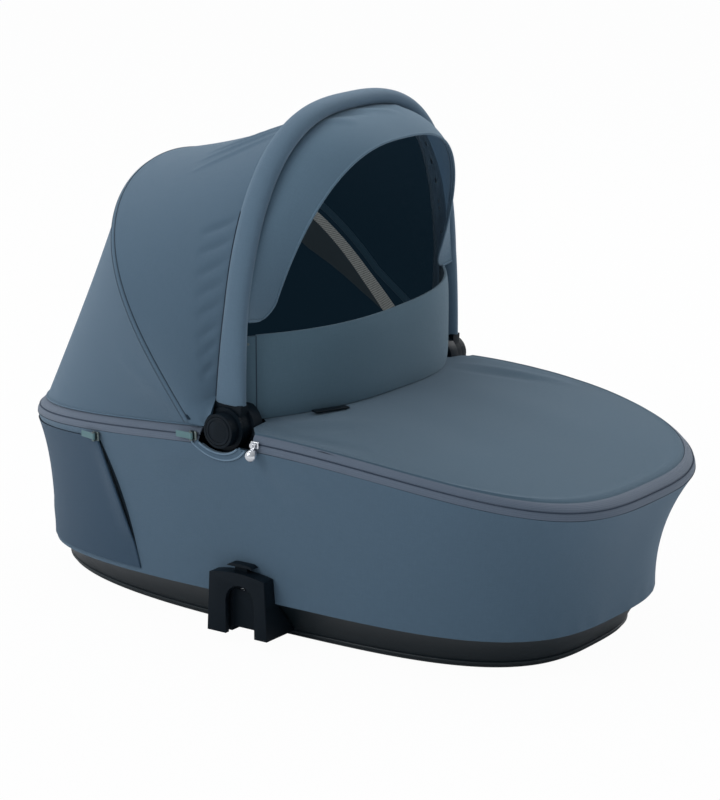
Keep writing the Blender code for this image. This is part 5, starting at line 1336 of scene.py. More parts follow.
def hoop(half, reach, powers, start, count, straight=0.0):
    """An arch from near to far as (y, distance) at even steps along it, from a height up the leg."""
    first = math.asin((max(0.0, start - straight) / reach) ** (powers[1] / 2))
    turns = np.linspace(first, math.pi - first, HOOP_STEPS)
    y = -half * power(np.cos(turns), 2 / powers[0])
    s = straight + reach * np.sin(turns) ** (2 / powers[1])
    if straight > start:
        y, s = np.concatenate(([-half], y, [half])), np.concatenate(([start], s, [start]))
    length = run_length(np.stack((y, s), 1))
    even = np.linspace(0, length[-1], count)
    return np.interp(even, length, y), np.interp(even, length, s)


def arch(foot, up, y, s):
    """Points of an arch in space, from its foot's middle and its upward direction."""
    return foot + np.stack((np.zeros_like(y), y, np.zeros_like(y)), 1) + up * s[:, None]


def handle_frames(start, count):
    """The handle's centre line with its outward direction and the distance up the leg."""
    y, s = hoop(HANDLE_HALF, HANDLE_REACH, (HANDLE_POWER, HANDLE_POWER), start, count)
    centre = arch(HUB, HANDLE_UP, y, s)
    out = unit(np.cross(unit(np.gradient(centre, axis=0)), HANDLE_FORWARD))
    out[np.sum(out * (centre - HUB), axis=1) < 0] *= -1
    return centre, out, s


def sleeve_half(s):
    share = np.clip((s - SLEEVE_START) / SLEEVE_TAPER, 0.0, 1.0)
    return SLEEVE_HALVES[0] + (SLEEVE_HALVES[1] - SLEEVE_HALVES[0]) * share


def on_sleeve(centre, out, s, turn, way):
    """Points of the sleeve's section: turn 0 is its tip on the given way, a negative one lies inside."""
    wide = (sleeve_half(s) - SLEEVE_EASE) * np.cos(turn)
    return centre + HANDLE_FORWARD * (way * wide)[:, None] + out * (SLEEVE_THICK * np.sin(turn))[:, None]


def make_sleeve():
    centre, out, s = handle_frames(SLEEVE_START, SLEEVE_COUNT)
    turns = np.linspace(0, math.tau, SLEEVE_SIDES, endpoint=False)
    half = sleeve_half(s)[:, None, None] - SWELL_ROOM[0]
    wide = power(np.cos(turns), SECTION_POWER)[None, :, None]
    thin = power(np.sin(turns), SECTION_POWER)[None, :, None]
    arc = run_length(centre)
    bend = np.linalg.norm(np.gradient(out, axis=0), axis=1) / np.gradient(arc) / BEND_FULL
    inner = np.clip(-np.sin(turns), 0.0, 1.0) ** 1.5
    gather = GATHER_HEIGHT * np.clip(bend, 0.0, 1.0)[:, None] * inner[None]
    gather = gather * np.sin(arc * math.tau / GATHER_LENGTH)[:, None]
    seam = -SEAM_DEPTH * np.exp(-((turns - 1.5 * math.pi) / SEAM_WIDTH) ** 2)
    swell = SLEEVE_THICK - SWELL_ROOM[1] + gather + seam[None]
    rings = centre[:, None] + HANDLE_FORWARD * half * wide + out[:, None] * thin * swell[..., None]
    ends = [np.stack([middle + (ring - middle) * scale + HANDLE_UP * depth for scale, depth in CUFFS])
            for ring, middle in ((rings[0], centre[0]), (rings[-1], centre[-1]))]
    rings = np.concatenate((ends[0][::-1], rings, ends[1]))
    sleeve = ring_mesh("handle_padding", rings)
    column = np.repeat(np.arange(len(rings)), SLEEVE_SIDES)
    side = np.tile(np.arange(SLEEVE_SIDES), len(rings))
    cuff = len(CUFFS)
    pinned = (column <= cuff) | (column >= len(rings) - 1 - cuff) | (side == SLEEVE_SIDES * 3 // 4)
    plump(sleeve, *SLEEVE_SWELL, pinned)
    dress(sleeve, SLEEVE, "handle", ["handle_sleeve"])
    return centre


sleeve_line = make_sleeve()
print("handle sleeve:", round(float(run_length(sleeve_line)[-1]), 3), "m long")

# %% [markdown]
# The hood is sewn from three cloths. Behind is the rear panel, from the rim's zip up to the thin
# rear bow. The middle panel spans from that bow to the handle. Both are stretched over the bows, so
# they are lofts between two curves that sag a little in between, with folds where they are pulled.

# %% Hood panels
PANEL_THICK = 0.0025
BOW_ANGLE = math.radians(128.0)
BOW_FOOT = np.array((-0.046, 0.0, 0.247))
BOW_STRAIGHT = 0.024
BOW_REACH = 0.276
BOW_HALF = 0.2187
BOW_POWERS = (1.9, 2.8)
BOW_RADIUS = 0.0025
SEAM_CLEAR = 0.0012
MID_START_BOW = 0.013
MID_START_HANDLE = 0.032
MID_TURNS = (math.radians(28.0), math.radians(-62.0))
MID_BULGE_LOW = 0.0065
MID_SAG_TOP = 0.007
MID_GIVE = 0.45
MID_EASE = (0.06, 0.02)
MID_RIPPLE = (0.0008, 0.18, 14)
MID_SPAN = ((-0.226, 0, 0.478), (-0.01, 0, 0.555))
GATHER_COUNT = 8
GATHER_START = 0.312
GATHER_STEP = 0.021
GATHER_REACH = 0.70
GATHER_DROP = 0.020
GATHER_FOLD = (0.0044, -0.0024)
TENSION_FOLDS = ((0.395, 0.0026), (0.425, 0.0032), (0.452, 0.0030))
TENSION_SLANT = 0.07
TENSION_REACH = 0.62
TENSION_WIDTH = 0.0036
SKIRT_COLUMNS = 9
SKIRT_FOOT = (-0.0455, 0.2245, 0.2430)
SKIRT_RING = 0.0205
SKIRT_RING_Y = 0.2215
SKIRT_TURNS = (math.radians(176.0), math.radians(128.0))
SKIRT_BEND = 0.35
REAR_SAG = 0.001
REAR_HEART = np.array((HUB[0] + (-HALF_LENGTH - HUB[0]) * 0.4, 0, RIM_HEIGHT))
REAR_RIPPLE = (0.0009, 0.22, 11)
REAR_SPAN = ((-0.38, 0, 0.20), (-0.226, 0, 0.478))
RIM_CLEAR = 0.0003
INNER_EASE = 2.5
PANEL_COLUMNS = 300
PANEL_ROWS = 42
HOOD_HEART = np.array((-0.12, 0.0, 0.309))
BOW_UP = np.array((math.cos(BOW_ANGLE), 0.0, math.sin(BOW_ANGLE)))
BOW_BACK = np.array((-math.sin(BOW_ANGLE), 0.0, math.cos(BOW_ANGLE)))


def seam_line(start, count, outward=0.0):
    """The sewn line over the rear bow, from near to far."""
    out = BOW_RADIUS + SEAM_CLEAR + PANEL_THICK + outward
    y, s = hoop(BOW_HALF + out, BOW_REACH + out, BOW_POWERS, start, count, BOW_STRAIGHT)
    return arch(BOW_FOOT, BOW_UP, y, s)


def rim_line(count):
    x, y = oval(zip_turns("head", count), SEAM_INSETS)
    return np.stack((x, y, rim_z(x) + RIM_CLEAR), 1)


def rear_grid(shares, inward=0.0):
    """The loft from the rim to the bow; a share is one number for a row or one for each column."""
    rim, seam = rim_line(PANEL_COLUMNS), seam_line(0.0, PANEL_COLUMNS)
    across = np.sin(math.pi * np.linspace(0, 1, PANEL_COLUMNS))
    rows = []
    for share in shares:
        share = np.broadcast_to(share, PANEL_COLUMNS)
        p = rim + (seam - rim) * share[:, None]
        pull = REAR_SAG * 4 * share * (1 - share) * across + inward * np.minimum(1.0, INNER_EASE * across)
        rows.append(p + unit(REAR_HEART - p) * pull[:, None])
    return np.stack(rows)


def set_blend(item, bodies, weights, start, end):
    """Bakes a sheet's transform into its mesh; it blends nothing, and its bodies, weights, start and end
    are not used.
    """
    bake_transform(item)


def row_weights(shares, grid):
    return np.broadcast_to(np.asarray(shares)[:, None], grid.shape[:2])


def waved(grid, waves, calm):
    """Faint waves on one of the hood's cloths, which die out where calm is 0."""
    return grid + (ripple(grid, facing(grid, HOOD_HEART), *waves) - grid) * calm


def folded(grid, folds, ease):
    """Folds on one of the hood's cloths, which die out where ease is 0."""
    return grid + (crease_all(grid, folds, HOOD_HEART) - grid) * ease


REAR_FOLDS = [
    ((-0.060, -0.222, 0.249), (-0.170, -0.212, 0.309), 0.010, 0.0010),
    ((-0.055, -0.222, 0.245), (-0.200, -0.205, 0.259), 0.012, -0.0010),
    ((-0.226, -0.060, 0.473), (-0.326, -0.040, 0.339), 0.030, 0.0016),
    ((-0.226, 0.070, 0.471), (-0.316, 0.060, 0.339), 0.028, -0.0012),
]


def make_rear_panel():
    shares = np.linspace(0.0, 1.0, PANEL_ROWS)
    calm = np.sin(math.pi * shares)[:, None, None]
    grid = waved(rear_grid(shares), REAR_RIPPLE, calm)
    grid = folded(grid, REAR_FOLDS + mirrored(REAR_FOLDS), calm ** 0.5)
    panel = sheet_mesh("hood_rear_cloth", grid, PANEL_THICK, HOOD_HEART)
    dress(panel, [SHELL, GLOWING_HOOD_LINING], nodes=["hood_rear_panel"])
    set_blend(panel, ("root", "rear_bow"), row_weights(shares, grid), *REAR_SPAN)
    declare_sheet(panel, grid)
    return grid


def mid_folds(grid):
    """Gathers that run back from the handle's lower leg, and pulled folds over the top."""
    folds = []
    rows, columns = grid.shape[0] - 1, grid.shape[1] - 1
    for side, strength in ((-1, 1.0), (1, MIRROR_STRENGTH)):
        half = grid[:, :columns // 2] if side < 0 else grid[:, :columns // 2:-1]
        end = half[int(rows * GATHER_REACH)]
        for high in GATHER_START + GATHER_STEP * np.arange(GATHER_COUNT):
            a = half[rows - 1, int(np.argmin(np.abs(half[-1, :, 2] - high)))]
            b = end[int(np.argmin(np.abs(end[:, 2] - high + GATHER_DROP)))]
            folds.append((a, b, GATHER_FOLD[0], GATHER_FOLD[1] * strength))
        for share, height in TENSION_FOLDS:
            near, far = share, share - TENSION_SLANT
            if side > 0:
                near, far = 1 - near, 1 - far
            a, b = grid[rows - 1, int(near * columns)], grid[1, int(far * columns)]
            folds.append((a, a + (b - a) * TENSION_REACH, TENSION_WIDTH, height * strength))
    return folds


def skirt(first, side):
    """The end of the middle panel below the handle's leg, from its first column to the hub's ring."""
    shares = np.linspace(0.0, 1.0, len(first))
    bend = np.clip((shares - SKIRT_BEND) / (1 - SKIRT_BEND), 0.0, 1.0)
    turn = SKIRT_TURNS[0] + (SKIRT_TURNS[1] - SKIRT_TURNS[0]) * bend
    ring = np.stack((HUB[0] + SKIRT_RING * np.cos(turn), np.full(len(first), side * SKIRT_RING_Y),
                     HUB[2] + SKIRT_RING * np.sin(turn)), 1)
    foot = np.array(SKIRT_FOOT) * (1, side, 1)
    reach = np.clip(shares / SKIRT_BEND, 0.0, 1.0)[:, None]
    low = foot + (ring - foot) * reach
    return [first + (low - first) * share for share in np.linspace(0, 1, SKIRT_COLUMNS + 1)[1:]]


def make_mid_panel():
    shares = np.linspace(0.0, 1.0, PANEL_ROWS)
    low = seam_line(MID_START_BOW, PANEL_COLUMNS)
    centre, out, s = handle_frames(MID_START_HANDLE, PANEL_COLUMNS)
    across = np.sin(math.pi * np.linspace(0, 1, PANEL_COLUMNS)) ** 2
    high = on_sleeve(centre, out, s, MID_TURNS[0] + (MID_TURNS[1] - MID_TURNS[0]) * across, -1.0)
    lift = MID_BULGE_LOW + (-MID_SAG_TOP - MID_BULGE_LOW) * across
    grid = np.stack([low + (high - low) * share + out * (lift * 4 * share * (1 - share))[:, None]
                     for share in shares])
    grid = waved(grid, MID_RIPPLE, np.sin(math.pi * shares)[:, None, None])
    ease = np.clip(np.minimum(shares / MID_EASE[0], (1 - shares) / MID_EASE[1]), 0, 1)
    grid = folded(grid, mid_folds(grid), ease[:, None, None])
    ends = skirt(grid[:, 0], -1)[::-1], skirt(grid[:, -1], 1)
    grid = np.concatenate((np.stack(ends[0], 1), grid, np.stack(ends[1], 1)), axis=1)
    panel = sheet_mesh("hood_mid_cloth", grid, PANEL_THICK, HOOD_HEART)
    dress(panel, [SHELL, GLOWING_HOOD_LINING], nodes=["hood_mid_panel"])
    set_blend(panel, ("rear_bow", "handle"), row_weights(shares ** MID_GIVE, grid), *MID_SPAN)
    declare_sheet(panel, grid)
    return grid


rear_cloth = make_rear_panel()
mid_cloth = make_mid_panel()
print("hood panels:", round(area_of(rear_cloth), 3), "and", round(area_of(mid_cloth), 3), "square metres")

# %% [markdown]
# Where the two panels meet, the seam is folded to one side and topstitched: a painted shadow line
# where the cloths meet, a flat band 5 mm wide behind it, and a row of stitches before a thin
# painted shadow line at the band's edge. Inside, the bow runs through a casing of lining cloth,
# painted lighter than the tub's lining and given a faint painted glow. The edge along the rim is
# piped, and a painted shadow line runs down each leg where the cloth tucks under the handle's sleeve.

# %% Seams of the hood
SEAM_BAND_HALF = 0.0026
SEAM_BAND_THICK = 0.0007
SEAM_BAND_BACK = SEAM_BAND_HALF + 0.0008
SEAM_BAND_CLEAR = 0.0001
SEAM_SHADOW_LINES = {"front": (0.0, 0.0006), "back": (2 * SEAM_BAND_HALF + 0.0011, 0.0004)}
SEAM_LINE_THICK = 0.0005
SEAM_STITCH_BACK = 2 * SEAM_BAND_HALF - 0.0006
SEAM_STITCH_CLEAR = 0.0006
SEAM_CENTRE = BOW_FOOT + BOW_UP * 0.10
SEAM_COUNT = 200
TUCK_CLEAR = 0.0012
TUCK_COUNT = 96
TUCK_RADIUS = 0.0006
TUCK_STEPS = 400
CASING_HALF = 0.0042
CASING_THICK = 0.0031
CASING_COUNT = 160
BOW_JOIN = 0.100
BOW_LEAVE = np.array((math.cos(math.radians(134.0)), 0.0, math.sin(math.radians(134.0))))
BOW_LOW_REACHES = (0.046, 0.055)
BOW_LOW_Y = 0.2135
RIM_EDGE_HALVES = (0.0015, 0.0012)
RIM_EDGE_RISE = 0.0010
RIM_EDGE_COUNT = 240


def make_bow_seam():
    line = seam_line(0.0, SEAM_COUNT)
    radial = unit(line - SEAM_CENTRE)
    behind = line + BOW_BACK * SEAM_BAND_BACK + radial * SEAM_BAND_CLEAR
    band = sweep("bow_seam_band", behind, SEAM_BAND_HALF, SEAM_BAND_THICK, radial, sides=BAND_SIDES)
    dress(band, SHELL, "rear_bow")
    # Two painted shadow lines: one where the cloths meet and a thinner one at the band's edge.
    for name, (place, wide) in SEAM_SHADOW_LINES.items():
        path = line + BOW_BACK * place
        dark = sweep(f"bow_seam_{name}", path, wide, SEAM_LINE_THICK, radial, sides=THIN_SIDES)
        dress(dark, PAINTED_SEAM_SHADOW, "rear_bow")
    sewn = line + BOW_BACK * SEAM_STITCH_BACK + radial * SEAM_STITCH_CLEAR
    dress(stitches("bow_seam_stitches", sewn, radial), THREAD, "rear_bow")


def make_bow_casing():
    """The casing of the bow inside the hood, with the bow's own low ends."""
    over = seam_line(BOW_JOIN, CASING_COUNT, -(BOW_RADIUS + SEAM_CLEAR + PANEL_THICK))
    low = HUB + BOW_LEAVE * np.array(BOW_LOW_REACHES)[:, None]
    near, far = (low + np.array((0, side * BOW_LOW_Y, 0)) for side in SIDES.values())
    inside = np.concatenate((near, over, far[::-1]))
    radial = unit(inside - SEAM_CENTRE)
    casing = sweep("bow_casing", inside, CASING_HALF, CASING_THICK, radial, sides=FINE_SIDES)
    dress(casing, CASING, "rear_bow")


def make_tucks_and_edge():
    centre, out, s = handle_frames(MID_START_HANDLE, TUCK_STEPS)
    # A painted shadow line runs down each leg where the cloth tucks under the sleeve.
    tuck = on_sleeve(centre, out, s, np.full(TUCK_STEPS, MID_TURNS[0]), -1.0) + out * TUCK_CLEAR
    for name, part in (("near", tuck[:TUCK_COUNT]), ("far", tuck[-TUCK_COUNT:])):
        line = sweep(f"sleeve_tuck_shadow_{name}", part, TUCK_RADIUS, TUCK_RADIUS, HANDLE_UP, sides=THIN_SIDES)
        dress(line, PAINTED_SEAM_SHADOW, "handle")
    rim = rim_line(RIM_EDGE_COUNT) + np.array((0, 0, RIM_EDGE_RISE))
    edge = sweep("hood_rim_edge", rim, *RIM_EDGE_HALVES, (0, 0, 1))
    dress(edge, SHELL, "root")


make_bow_seam()
make_bow_casing()
make_tucks_and_edge()
print("hood seams")

# %% [markdown]
# The visor is a curved peak in front of the handle, with rounded lower corners. A cord is sewn into
# its outline, so it holds its curve.

# %% Visor
VISOR_ANGLE = math.radians(70.0)
VISOR_FOOT = np.array((0.0105, 0.0, 0.3454))
VISOR_REACH = 0.197
VISOR_HALF = 0.1555
VISOR_POWERS = (2.69, 2.39)
VISOR_START = 0.116
VISOR_EDGE_START = 0.004
VISOR_BULGE = 0.006
VISOR_TURNS = (math.radians(-30.0), math.radians(-60.0))
VISOR_CORNER = 0.024
VISOR_GIVE = 0.65
PIPING_RADIUS = 0.0026
EDGE_CORD = 0.0015
VISOR_COLUMNS = 150
VISOR_ROWS = 26
VISOR_STEPS = 600
VISOR_CROWDING = 0.75
VISOR_THICK = PANEL_THICK * 0.8
VISOR_RIPPLE = (0.0006, 0.16, 17)
VISOR_CALM = 0.4
VISOR_SPAN = ((0.01, 0, 0.56), (0.08, 0, 0.52))
CORD_COUNT = 12
CORD_SHARES = (0.06, 0.97)
CORD_SUNK = 0.0006
INNER_ROW = -4
INNER_SUNK = 0.0026
INNER_HALVES = (0.0012, 0.0010)
VISOR_UP = np.array((math.cos(VISOR_ANGLE), 0.0, math.sin(VISOR_ANGLE)))
VISOR_CENTRE = VISOR_FOOT + VISOR_UP * 0.06
VISOR_FOLDS = [
    ((0.012, -0.080, 0.558), (0.044, -0.040, 0.548), 0.006, 0.0026),
    ((0.014, -0.062, 0.558), (0.038, -0.012, 0.553), 0.005, -0.0022),
    ((0.016, -0.030, 0.561), (0.046, 0.035, 0.553), 0.005, 0.0022),
    ((0.014, 0.075, 0.558), (0.042, 0.040, 0.549), 0.006, 0.0020),
    ((0.014, -0.195, 0.449), (0.050, -0.150, 0.479), 0.016, 0.0014),
    ((0.014, 0.195, 0.449), (0.050, 0.150, 0.479), 0.016, 0.0012),
]


def visor_edge(half, reach, count):
    y, s = hoop(half, reach, VISOR_POWERS, VISOR_EDGE_START, count)
    return arch(VISOR_FOOT, VISOR_UP, y, s)


def crowded(points, count):
    """Picks points along a line, closer together towards its ends."""
    share = np.linspace(0.0, 1.0, count)
    share = share * (1 - VISOR_CROWDING) + (1 - np.cos(math.pi * share)) / 2 * VISOR_CROWDING
    return interpolated(share, np.linspace(0.0, 1.0, len(points)), points)


def round_corners(start, end):
    """Draws the free edge back towards the handle at its two lower corners."""
    run = run_length(end)
    left = np.clip(1 - np.minimum(run, run[-1] - run) / VISOR_CORNER, 0.0, 1.0)
    back = VISOR_CORNER * (1 - np.sqrt(1 - left ** 2))
    return end - unit(end - start) * back[:, None]


def make_visor():
    shares = np.linspace(0.0, 1.0, VISOR_ROWS)
    centre, out, s = handle_frames(VISOR_START, VISOR_STEPS)
    across = np.sin(math.pi * np.linspace(0, 1, VISOR_STEPS))
    start = on_sleeve(centre, out, s, VISOR_TURNS[0] + (VISOR_TURNS[1] - VISOR_TURNS[0]) * across, 1.0)
    spare = PIPING_RADIUS - EDGE_CORD
    end = visor_edge(VISOR_HALF + spare, VISOR_REACH + spare, VISOR_STEPS)
    start, end, out = (crowded(line, VISOR_COLUMNS) for line in (start, end, out))
    end = round_corners(start, end)
    grid = np.stack([start + (end - start) * share + out * (VISOR_BULGE * 4 * share * (1 - share))
                     for share in shares])
    calm = np.sin(math.pi * shares)[:, None, None]
    grid = folded(waved(grid, VISOR_RIPPLE, calm), VISOR_FOLDS, calm ** VISOR_CALM)
    visor = sheet_mesh("visor_cloth", grid, VISOR_THICK, HOOD_HEART)
    dress(visor, [VISOR_CLOTH, LIT_VISOR_LINING], nodes=["visor"])
    set_blend(visor, ("handle", "visor"), row_weights(shares ** VISOR_GIVE, grid), *VISOR_SPAN)
    declare_sheet(visor, grid)
    make_visor_cords(grid, start, end)
    return grid


def make_visor_cords(grid, start, end):
    """The cord along the visor's outline, and a thin binding inside its free edge, in a lighter cloth that
    paints its highlight.
    """
    radial = unit(end - VISOR_CENTRE)
    near, far = (start[k] + (end[k] - start[k]) * np.linspace(*span, CORD_COUNT)[:, None]
                 for k, span in ((0, CORD_SHARES), (-1, CORD_SHARES[::-1])))
    path = np.concatenate((near, end, far))
    up = np.concatenate((np.tile(radial[0], (CORD_COUNT, 1)), radial, np.tile(radial[-1], (CORD_COUNT, 1))))
    cord = sweep("visor_edge_piping", path - up * CORD_SUNK, EDGE_CORD, EDGE_CORD, up, sides=FINE_SIDES)
    dress(cord, VISOR_CLOTH, "visor", ["visor_piping"])
    span = slice(CORD_COUNT, -CORD_COUNT)
    inner = (grid[INNER_ROW] - facing(grid, HOOD_HEART)[INNER_ROW] * INNER_SUNK)[span]
    binding = sweep("visor_inner_piping", inner, *INNER_HALVES, radial[span])
    dress(binding, HIGHLIGHT_BINDING, "visor")


visor_cloth = make_visor()
print("visor:", round(area_of(visor_cloth), 3), "square metres")

# %% [markdown]
# Under the hood, next to the rear bow, is a vent: a silver-grey net and below it a dark satin cloth
# that covers it when it is closed. Both follow the rear panel from inside, so they are strips of the
# same loft, a few millimetres further in.

# %% Vent in the hood
VENT_TOP = 0.009
VENT_NET = (0.018, 0.011)
VENT_SATIN = 0.033
VENT_NARROW = (0.26, 0.66)
VENT_SPAN = (0.05, 0.95)
NET_FORM = (0.0058, 0.0002)
SATIN_FORM = (0.0066, 0.0020)
VENT_ROWS = 12
VENT_LEAST = 0.02
VENT_LOWEST = 0.95
VENT_THICK = 0.0009
VENT_WAVE = (0.035, 21)


def vent_drops():
    """Distances of the vent's three edges below the bow's seam, for each column of the panel."""
    across = np.sin(math.pi * np.linspace(0.0, 1.0, PANEL_COLUMNS))
    high = (across - VENT_NARROW[0]) / (VENT_NARROW[1] - VENT_NARROW[0])
    high = np.clip(high, VENT_LEAST, 1.0)
    net = VENT_TOP + VENT_NET[0] + (VENT_NET[1] - VENT_NET[0]) * high
    return np.full(PANEL_COLUMNS, VENT_TOP), net, net + VENT_SATIN * high


def make_vent_strip(name, edges, form, finish, nodes):
    """A strip of the rear panel's loft between two of the vent's edges, at a depth and with waves."""
    (low, high), (depth, wave) = edges, form
    height = np.linalg.norm(seam_line(0.0, PANEL_COLUMNS) - rim_line(PANEL_COLUMNS), axis=1)
    shares = np.array([1 - np.minimum((low + (high - low) * t) / height, VENT_LOWEST)
                       for t in np.linspace(0.0, 1.0, VENT_ROWS)])
    span = slice(*(int(PANEL_COLUMNS * share) for share in VENT_SPAN))
    grid = rear_grid(shares, depth)[:, span]
    grid = ripple(grid, facing(grid, HOOD_HEART), wave, *VENT_WAVE)
    strip = sheet_mesh(name, grid, VENT_THICK, HOOD_HEART)
    dress(strip, finish, nodes=nodes)
    set_blend(strip, ("root", "rear_bow"), shares[:, span], *REAR_SPAN)


vent_top, vent_middle, vent_low = vent_drops()
make_vent_strip("vent_netting", (vent_middle, vent_top), NET_FORM, NET, ["vent_net"])
make_vent_strip("vent_satin", (vent_low, vent_middle), SATIN_FORM, SATIN, ())
print("vent net and its satin cover")

# %% [markdown]
# Inside the tub, a lining hangs from a shelf over the rim tube down to the mattress. The mattress is
# a foam pad in a knitted cover: crowned on top, drawn in along its seam, and swelled by the cloth
# simulation like the other padded pieces.

# %% Lining and mattress
LINER_INSET = 0.0465
LINER_THICK = 0.002
LINER_BOTTOM = 0.061
LINER_COLUMNS = 300
LINER_DROP = 0.0061
LINER_SHELF = ((0.0195, LINER_DROP), (0.030, LINER_DROP - 0.0006), (0.041, LINER_DROP),
               (LINER_INSET, LINER_DROP + 0.003))
LINER_SHARES = (0.9, 0.7, 0.5, 0.25, 0.06)
LINER_RIPPLE = (0.0007, 0.10, 25)
SOCKET_BOX = (0.065, 0.1762, 0.2110)
SOCKET_OUTER = 0.24
SOCKET_TOP = 0.24
MATTRESS_BASE = 0.0073
MATTRESS_INSETS = (0.069, 0.076, 0.034)
MATTRESS_ROOM = 0.0015
MATTRESS_HEIGHT = 0.036
MATTRESS_COLUMNS = 180
MATTRESS_SHARES = ((0.11, 0.0), (0.0, 0.14), (-0.02, 0.32), (0.04, 0.5), (-0.02, 0.68), (0.02, 0.88),
                   (0.17, 0.98))
MATTRESS_TOP_STEPS = (0.08, 0.2, 0.35, 0.5, 0.65, 0.8, 0.93)
MATTRESS_FLOOR_STEPS = (0.9, 0.6, 0.3)
MATTRESS_CROWN = 0.006
MATTRESS_SWELL = (1.5, 0.0030)


def ring_at(turns, insets, height):
    x, y = oval(turns, insets)
    return np.stack((x, y, np.full_like(x, height)), -1)


def shrunk(ring, share, rise=0.0):
    """A ring drawn towards the cot's middle by a share of its size, and raised."""
    return np.column_stack((ring[:, :2] * (1 - share), ring[:, 2] + rise))


def make_lining():
    turns = ring_turns(LINER_COLUMNS)
    rows = []
    for inset, drop in LINER_SHELF:
        x, y = oval(turns, (inset,) * 3)
        rows.append(np.stack((x, y, rim_at(turns) - drop), -1))
    rows += [wall(turns, share, -LINER_INSET) for share in LINER_SHARES]
    rows[-1][:, 2] = LINER_BOTTOM
    grid = np.stack(rows)
    grid = ripple(grid, facing(grid, wrap=True), *LINER_RIPPLE)
    lining = sheet_mesh("tub_lining", grid, -LINER_THICK, wrap=True)
    half, inner, low = SOCKET_BOX
    boxes = []
    for side in SIDES.values():
        first, last = sorted((side * inner, side * SOCKET_OUTER))
        boxes.append(box_cutter((HUB[0] - half, first, low), (HUB[0] + half, last, SOCKET_TOP)))
    cut_away(lining, boxes)
    dress(lining, LINING, "root", ["inner_liner"])
    declare_sheet(lining, np.concatenate((grid, grid[:, :1]), axis=1))


def make_mattress():
    turns = ring_turns(MATTRESS_COLUMNS)
    rings = [ring_at(turns, [inset + draw * MATTRESS_HEIGHT + MATTRESS_ROOM for inset in MATTRESS_INSETS],
                     MATTRESS_BASE + share * MATTRESS_HEIGHT) for draw, share in MATTRESS_SHARES]
    floor = [shrunk(rings[0], share) for share in MATTRESS_FLOOR_STEPS]
    top = [shrunk(rings[-1], share, MATTRESS_CROWN * (1 - (1 - share) ** 2))
           for share in MATTRESS_TOP_STEPS]
    rings = np.stack(floor + rings + top)
    pad = ring_mesh("mattress_pad", rings)
    pinned = np.repeat(np.arange(len(rings)), len(turns)) <= len(floor)
    plump(pad, *MATTRESS_SWELL, pinned)
    dress(pad, MATTRESS, "root", ["mattress"])


make_lining()
make_mattress()
print("lining and mattress")

# %% [markdown]
# The tray is a shallow tub of moulded nylon. Its wall leans out up to the fabric's hem, and a thin
# bead runs round it near the floor. It is a loft of rings, closed on the inside by a second wall,
# with shallow grooves under the floor and holes for the studs of its four rubber pads.

# %% Tray
TRAY_WALL = 0.003
TRAY_FLOOR = 0.004
TRAY_INSETS = (0.059, 0.066, 0.024)
TRAY_CORNER = 0.012
TRAY_TOP_SHARES = (0.13, 0.244)
TRAY_COLUMNS = 360
TRAY_FLOOR_STEPS = (0.93, 0.6, 0.3, 0.1)
TRAY_BENDS = 7
TRAY_CORNER_SHARES = (0.75, 0.45)
TRAY_WALL_SHARES = (0.03, 0.15, 0.35, 0.55, 0.75, 0.9, 1.0)
TRAY_BOW = 0.12
TRAY_CLEAR = 0.0006
HEM_CLEAR = 0.0003
BEAD = 0.0014
BEAD_HEIGHT = 0.013
BEAD_WIDE = 0.003
BEAD_LEFT = 0.1
GROOVES = (7, 0.075, 0.006, 0.190, 0.0012)
PAD_PLACES = (0.215, 0.105, 0.0043)
PAD_HOLE_DEPTH = 0.02
PAD_HOLE_SIDES = 24


def tray_rings():
    """The tray's outer face, from the middle of its floor to its top edge inside the hem."""
    turns = ring_turns(TRAY_COLUMNS)
    low = np.array(TRAY_INSETS)
    floor = ring_at(turns, low + TRAY_CORNER, TRAY_FLOOR)
    rings = [shrunk(floor, share) for share in TRAY_FLOOR_STEPS]
    wide, high = TRAY_CORNER * TRAY_CORNER_SHARES[0], BEAD_HEIGHT * TRAY_CORNER_SHARES[1]
    for bend in np.linspace(0.0, math.pi / 2, TRAY_BENDS):
        inset = low + wide * (1 - math.sin(bend)) + TRAY_CLEAR
        rings.append(ring_at(turns, inset, TRAY_FLOOR + high * (1 - math.cos(bend))))
    for bend in np.linspace(-math.pi / 2, math.pi / 2, TRAY_BENDS):
        z = BEAD_HEIGHT + BEAD_WIDE / 2 * math.sin(bend) - BEAD_WIDE / 2
        rings.append(ring_at(turns, low - BEAD * math.cos(bend), z))
    start = low - BEAD * BEAD_LEFT
    hem = np.array(HEM_INSETS) + COVER_THICK + HEM_CLEAR
    for share in TRAY_WALL_SHARES:
        insets = start + (hem - start) * (share - TRAY_BOW * math.sin(math.pi * share))
        ring = ring_at(turns, insets, BEAD_HEIGHT)
        ring[:, 2] += (HEM_HEIGHT - fall(ring[:, 0], HEM_FALLS) - BEAD_HEIGHT) * share
        rings.append(ring)
    rings += [wall(turns, share, -COVER_THICK - TRAY_CLEAR) for share in TRAY_TOP_SHARES]
    return np.stack(rings)


